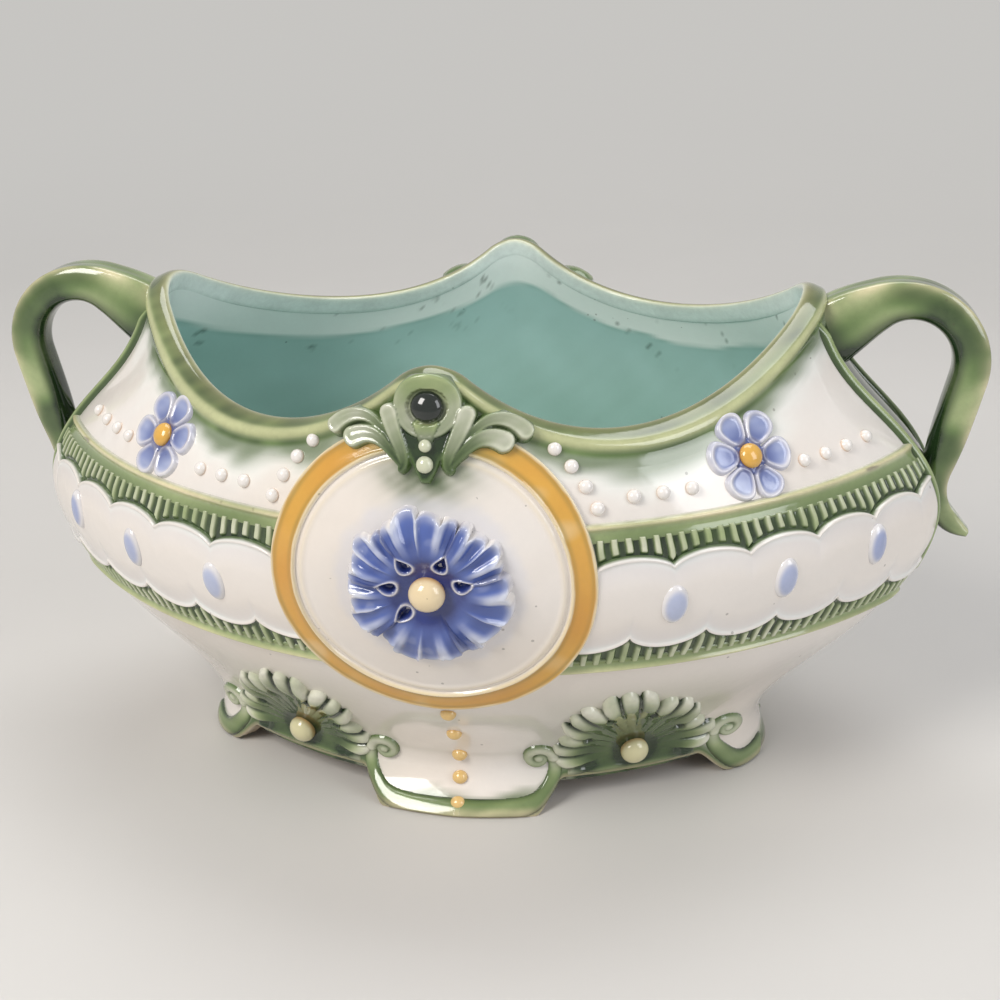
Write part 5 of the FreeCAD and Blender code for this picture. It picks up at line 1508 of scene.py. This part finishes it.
def lay_floor():
    """Pale floor, swept up behind the object."""
    across = np.linspace(-FLOOR_HALF_WIDTH, FLOOR_HALF_WIDTH, 9)
    points = [(x, y, z) for y, z in FLOOR_SWEEP for x in across]
    mesh = bpy.data.meshes.new("Floor")
    mesh.from_pydata(points, [], quads(len(FLOOR_SWEEP), len(across)).tolist())
    mesh.polygons.foreach_set("use_smooth", np.ones(len(mesh.polygons), bool))
    mesh.materials.append(floor_material())
    floor = bpy.data.objects.new("Floor", mesh)
    bpy.context.scene.collection.objects.link(floor)


def light_world():
    """World of weak cool light, which looks like the pale backdrop."""
    world = bpy.data.worlds.new("Studio")
    bpy.context.scene.world = world
    world.use_nodes = True
    nodes, links = world.node_tree.nodes, world.node_tree.links
    sky = nodes["Background"]
    pale = nodes.new("ShaderNodeBackground")
    choice = nodes.new("ShaderNodeMixShader")
    sky.inputs["Color"].default_value = (*SKY_COLOUR, 1.0)
    sky.inputs["Strength"].default_value = SKY_STRENGTH
    pale.inputs["Color"].default_value = (*BACKDROP, 1.0)
    pale.inputs["Strength"].default_value = 1.0
    links.new(pale_share(nodes, links), choice.inputs["Fac"])
    links.new(sky.outputs[0], choice.inputs[1])
    links.new(pale.outputs[0], choice.inputs[2])
    links.new(choice.outputs[0], nodes["World Output"].inputs["Surface"])


def rotation(side, up, back):
    """Euler angles that turn the X, Y and Z axes to three directions."""
    pitch = -math.asin(float(side[2]))
    return (math.atan2(float(up[2]), float(back[2])), pitch, math.atan2(float(side[1]), float(side[0])))


def hang_light(name, place, size, power, colour):
    """Soft rectangular light turned to the object."""
    data = bpy.data.lights.new(name, "AREA")
    data.shape = "RECTANGLE"
    data.size, data.size_y = size
    data.energy = power
    data.color = colour
    lamp = bpy.data.objects.new(name, data)
    lamp.location = place
    back = np.array(place) - LIGHT_TARGET
    back /= np.linalg.norm(back)
    side = np.cross(UPRIGHT, back)
    side /= np.linalg.norm(side)
    lamp.rotation_euler = rotation(side, np.cross(back, side), back)
    bpy.context.scene.collection.objects.link(lamp)


def place_camera():
    """Camera at the photograph's angle: turned by its yaw and pitch, then rolled about its view."""
    level = math.cos(CAMERA_PITCH)
    ahead = np.array([math.sin(CAMERA_YAW) * level, math.cos(CAMERA_YAW) * level, math.sin(CAMERA_PITCH)])
    right = np.cross(ahead, UPRIGHT)
    right /= np.linalg.norm(right)
    above = np.cross(right, ahead)
    side = math.cos(CAMERA_ROLL) * right + math.sin(CAMERA_ROLL) * above
    over = -math.sin(CAMERA_ROLL) * right + math.cos(CAMERA_ROLL) * above
    data = bpy.data.cameras.new("Camera")
    data.sensor_width = CAMERA_SENSOR
    data.lens = CAMERA_LENS
    camera = bpy.data.objects.new("Camera", data)
    camera.location = CAMERA_PLACE
    camera.rotation_euler = rotation(side, over, -ahead)
    bpy.context.scene.collection.objects.link(camera)
    bpy.context.scene.camera = camera


def build_stage():
    """Pale floor swept up behind, three soft lights, and the camera at the photograph's angle."""
    lay_floor()
    light_world()
    for name, values in LIGHTS.items():
        hang_light(name, *values)
    place_camera()
    bpy.context.scene.view_settings.view_transform = "Standard"


class JARDINIERE_OT_bowl(bpy.types.Operator):
    """Cast bowl with its foot rim, waved lip and inside glaze."""

    bl_idname = "jardiniere.bowl"
    bl_label = "Build the bowl"

    def execute(self, context):
        build_bowl()
        return {"FINISHED"}


class JARDINIERE_OT_rim(bpy.types.Operator):
    """Green roll along the waved lip."""

    bl_idname = "jardiniere.rim"
    bl_label = "Build the rim moulding"

    def execute(self, context):
        build_rim()
        return {"FINISHED"}


class JARDINIERE_OT_handles(bpy.types.Operator):
    """Two loop handles with their tails."""

    bl_idname = "jardiniere.handles"
    bl_label = "Build the handles"

    def execute(self, context):
        build_handles()
        return {"FINISHED"}


class JARDINIERE_OT_fillets(bpy.types.Operator):
    """Raised lines above and below the band."""

    bl_idname = "jardiniere.fillets"
    bl_label = "Build the fillets"

    def execute(self, context):
        build_fillets()
        return {"FINISHED"}


class JARDINIERE_OT_scallops(bpy.types.Operator):
    """White lobed band of each quarter."""

    bl_idname = "jardiniere.scallops"
    bl_label = "Build the scalloped bands"

    def execute(self, context):
        build_scallops()
        return {"FINISHED"}


class JARDINIERE_OT_reeds(bpy.types.Operator):
    """Green reeds above and below the lobes."""

    bl_idname = "jardiniere.reeds"
    bl_label = "Build the reeds"

    def execute(self, context):
        build_reeds()
        return {"FINISHED"}


class JARDINIERE_OT_borders(bpy.types.Operator):
    """Ridges up the ends beside the handles."""

    bl_idname = "jardiniere.borders"
    bl_label = "Build the border ridges"

    def execute(self, context):
        build_borders()
        return {"FINISHED"}


class JARDINIERE_OT_medallion(bpy.types.Operator):
    """Disc and ochre ring on the front and back."""

    bl_idname = "jardiniere.medallion"
    bl_label = "Build the medallions"

    def execute(self, context):
        build_medallion()
        return {"FINISHED"}


class JARDINIERE_OT_cornflower(bpy.types.Operator):
    """Fluted flower and its pearl on each medallion."""

    bl_idname = "jardiniere.cornflower"
    bl_label = "Build the cornflowers"

    def execute(self, context):
        build_cornflower()
        return {"FINISHED"}


class JARDINIERE_OT_cabochons(bpy.types.Operator):
    """Blue ovals along the bands."""

    bl_idname = "jardiniere.cabochons"
    bl_label = "Build the cabochons"

    def execute(self, context):
        build_cabochons()
        return {"FINISHED"}


class JARDINIERE_OT_pearls(bpy.types.Operator):
    """Neck pearls and the chains down to the foot."""

    bl_idname = "jardiniere.pearls"
    bl_label = "Build the pearls and beads"

    def execute(self, context):
        build_pearls()
        return {"FINISHED"}


class JARDINIERE_OT_flowers(bpy.types.Operator):
    """Six-petalled flowers on the neck."""

    bl_idname = "jardiniere.flowers"
    bl_label = "Build the forget-me-nots"

    def execute(self, context):
        build_flowers()
        return {"FINISHED"}


class JARDINIERE_OT_palmettes(bpy.types.Operator):
    """Fingered sprays over the arches, with their pearls."""

    bl_idname = "jardiniere.palmettes"
    bl_label = "Build the palmettes"

    def execute(self, context):
        build_palmettes()
        return {"FINISHED"}


class JARDINIERE_OT_scrolls(bpy.types.Operator):
    """Borders and volutes of the feet."""

    bl_idname = "jardiniere.scrolls"
    bl_label = "Build the foot scrolls"

    def execute(self, context):
        build_scrolls()
        return {"FINISHED"}


class JARDINIERE_OT_crest(bpy.types.Operator):
    """Curled leaves and jewels under the peaks."""

    bl_idname = "jardiniere.crest"
    bl_label = "Build the crests"

    def execute(self, context):
        build_crest()
        return {"FINISHED"}


class JARDINIERE_OT_stage(bpy.types.Operator):
    """Pale floor, soft lights and the camera."""

    bl_idname = "jardiniere.stage"
    bl_label = "Build the stage"

    def execute(self, context):
        build_stage()
        return {"FINISHED"}


OPERATORS = [
    JARDINIERE_OT_bowl,
    JARDINIERE_OT_rim,
    JARDINIERE_OT_handles,
    JARDINIERE_OT_fillets,
    JARDINIERE_OT_scallops,
    JARDINIERE_OT_reeds,
    JARDINIERE_OT_borders,
    JARDINIERE_OT_medallion,
    JARDINIERE_OT_cornflower,
    JARDINIERE_OT_cabochons,
    JARDINIERE_OT_pearls,
    JARDINIERE_OT_flowers,
    JARDINIERE_OT_palmettes,
    JARDINIERE_OT_scrolls,
    JARDINIERE_OT_crest,
    JARDINIERE_OT_stage,
]


class JARDINIERE_PT_panel(bpy.types.Panel):
    """Sizes, colours and building steps."""

    bl_label = "Jardiniere"
    bl_idname = "JARDINIERE_PT_panel"
    bl_space_type = "VIEW_3D"
    bl_region_type = "UI"
    bl_category = "Jardiniere"

    def draw(self, context):
        for group in (context.scene.jardiniere_sizes, context.scene.jardiniere_colours):
            box = self.layout.box()
            for name in group.__annotations__:
                box.prop(group, name)
        for operator in OPERATORS:
            self.layout.operator(operator.bl_idname)


CLASSES = [JardiniereSizes, JardiniereColours, *OPERATORS, JARDINIERE_PT_panel]


def register():
    for item in CLASSES:
        bpy.utils.register_class(item)
    bpy.types.Scene.jardiniere_sizes = bpy.props.PointerProperty(type=JardiniereSizes)
    bpy.types.Scene.jardiniere_colours = bpy.props.PointerProperty(type=JardiniereColours)


def unregister():
    del bpy.types.Scene.jardiniere_colours
    del bpy.types.Scene.jardiniere_sizes
    for item in reversed(CLASSES):
        bpy.utils.unregister_class(item)


def main():
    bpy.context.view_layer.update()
    register()
    bpy.ops.jardiniere.bowl()
    bpy.ops.jardiniere.rim()
    bpy.ops.jardiniere.handles()
    bpy.ops.jardiniere.fillets()
    bpy.ops.jardiniere.scallops()
    bpy.ops.jardiniere.reeds()
    bpy.ops.jardiniere.borders()
    bpy.ops.jardiniere.medallion()
    bpy.ops.jardiniere.cornflower()
    bpy.ops.jardiniere.cabochons()
    bpy.ops.jardiniere.pearls()
    bpy.ops.jardiniere.flowers()
    bpy.ops.jardiniere.palmettes()
    bpy.ops.jardiniere.scrolls()
    bpy.ops.jardiniere.crest()
    bpy.ops.jardiniere.stage()


if __name__ == "__main__":
    main()
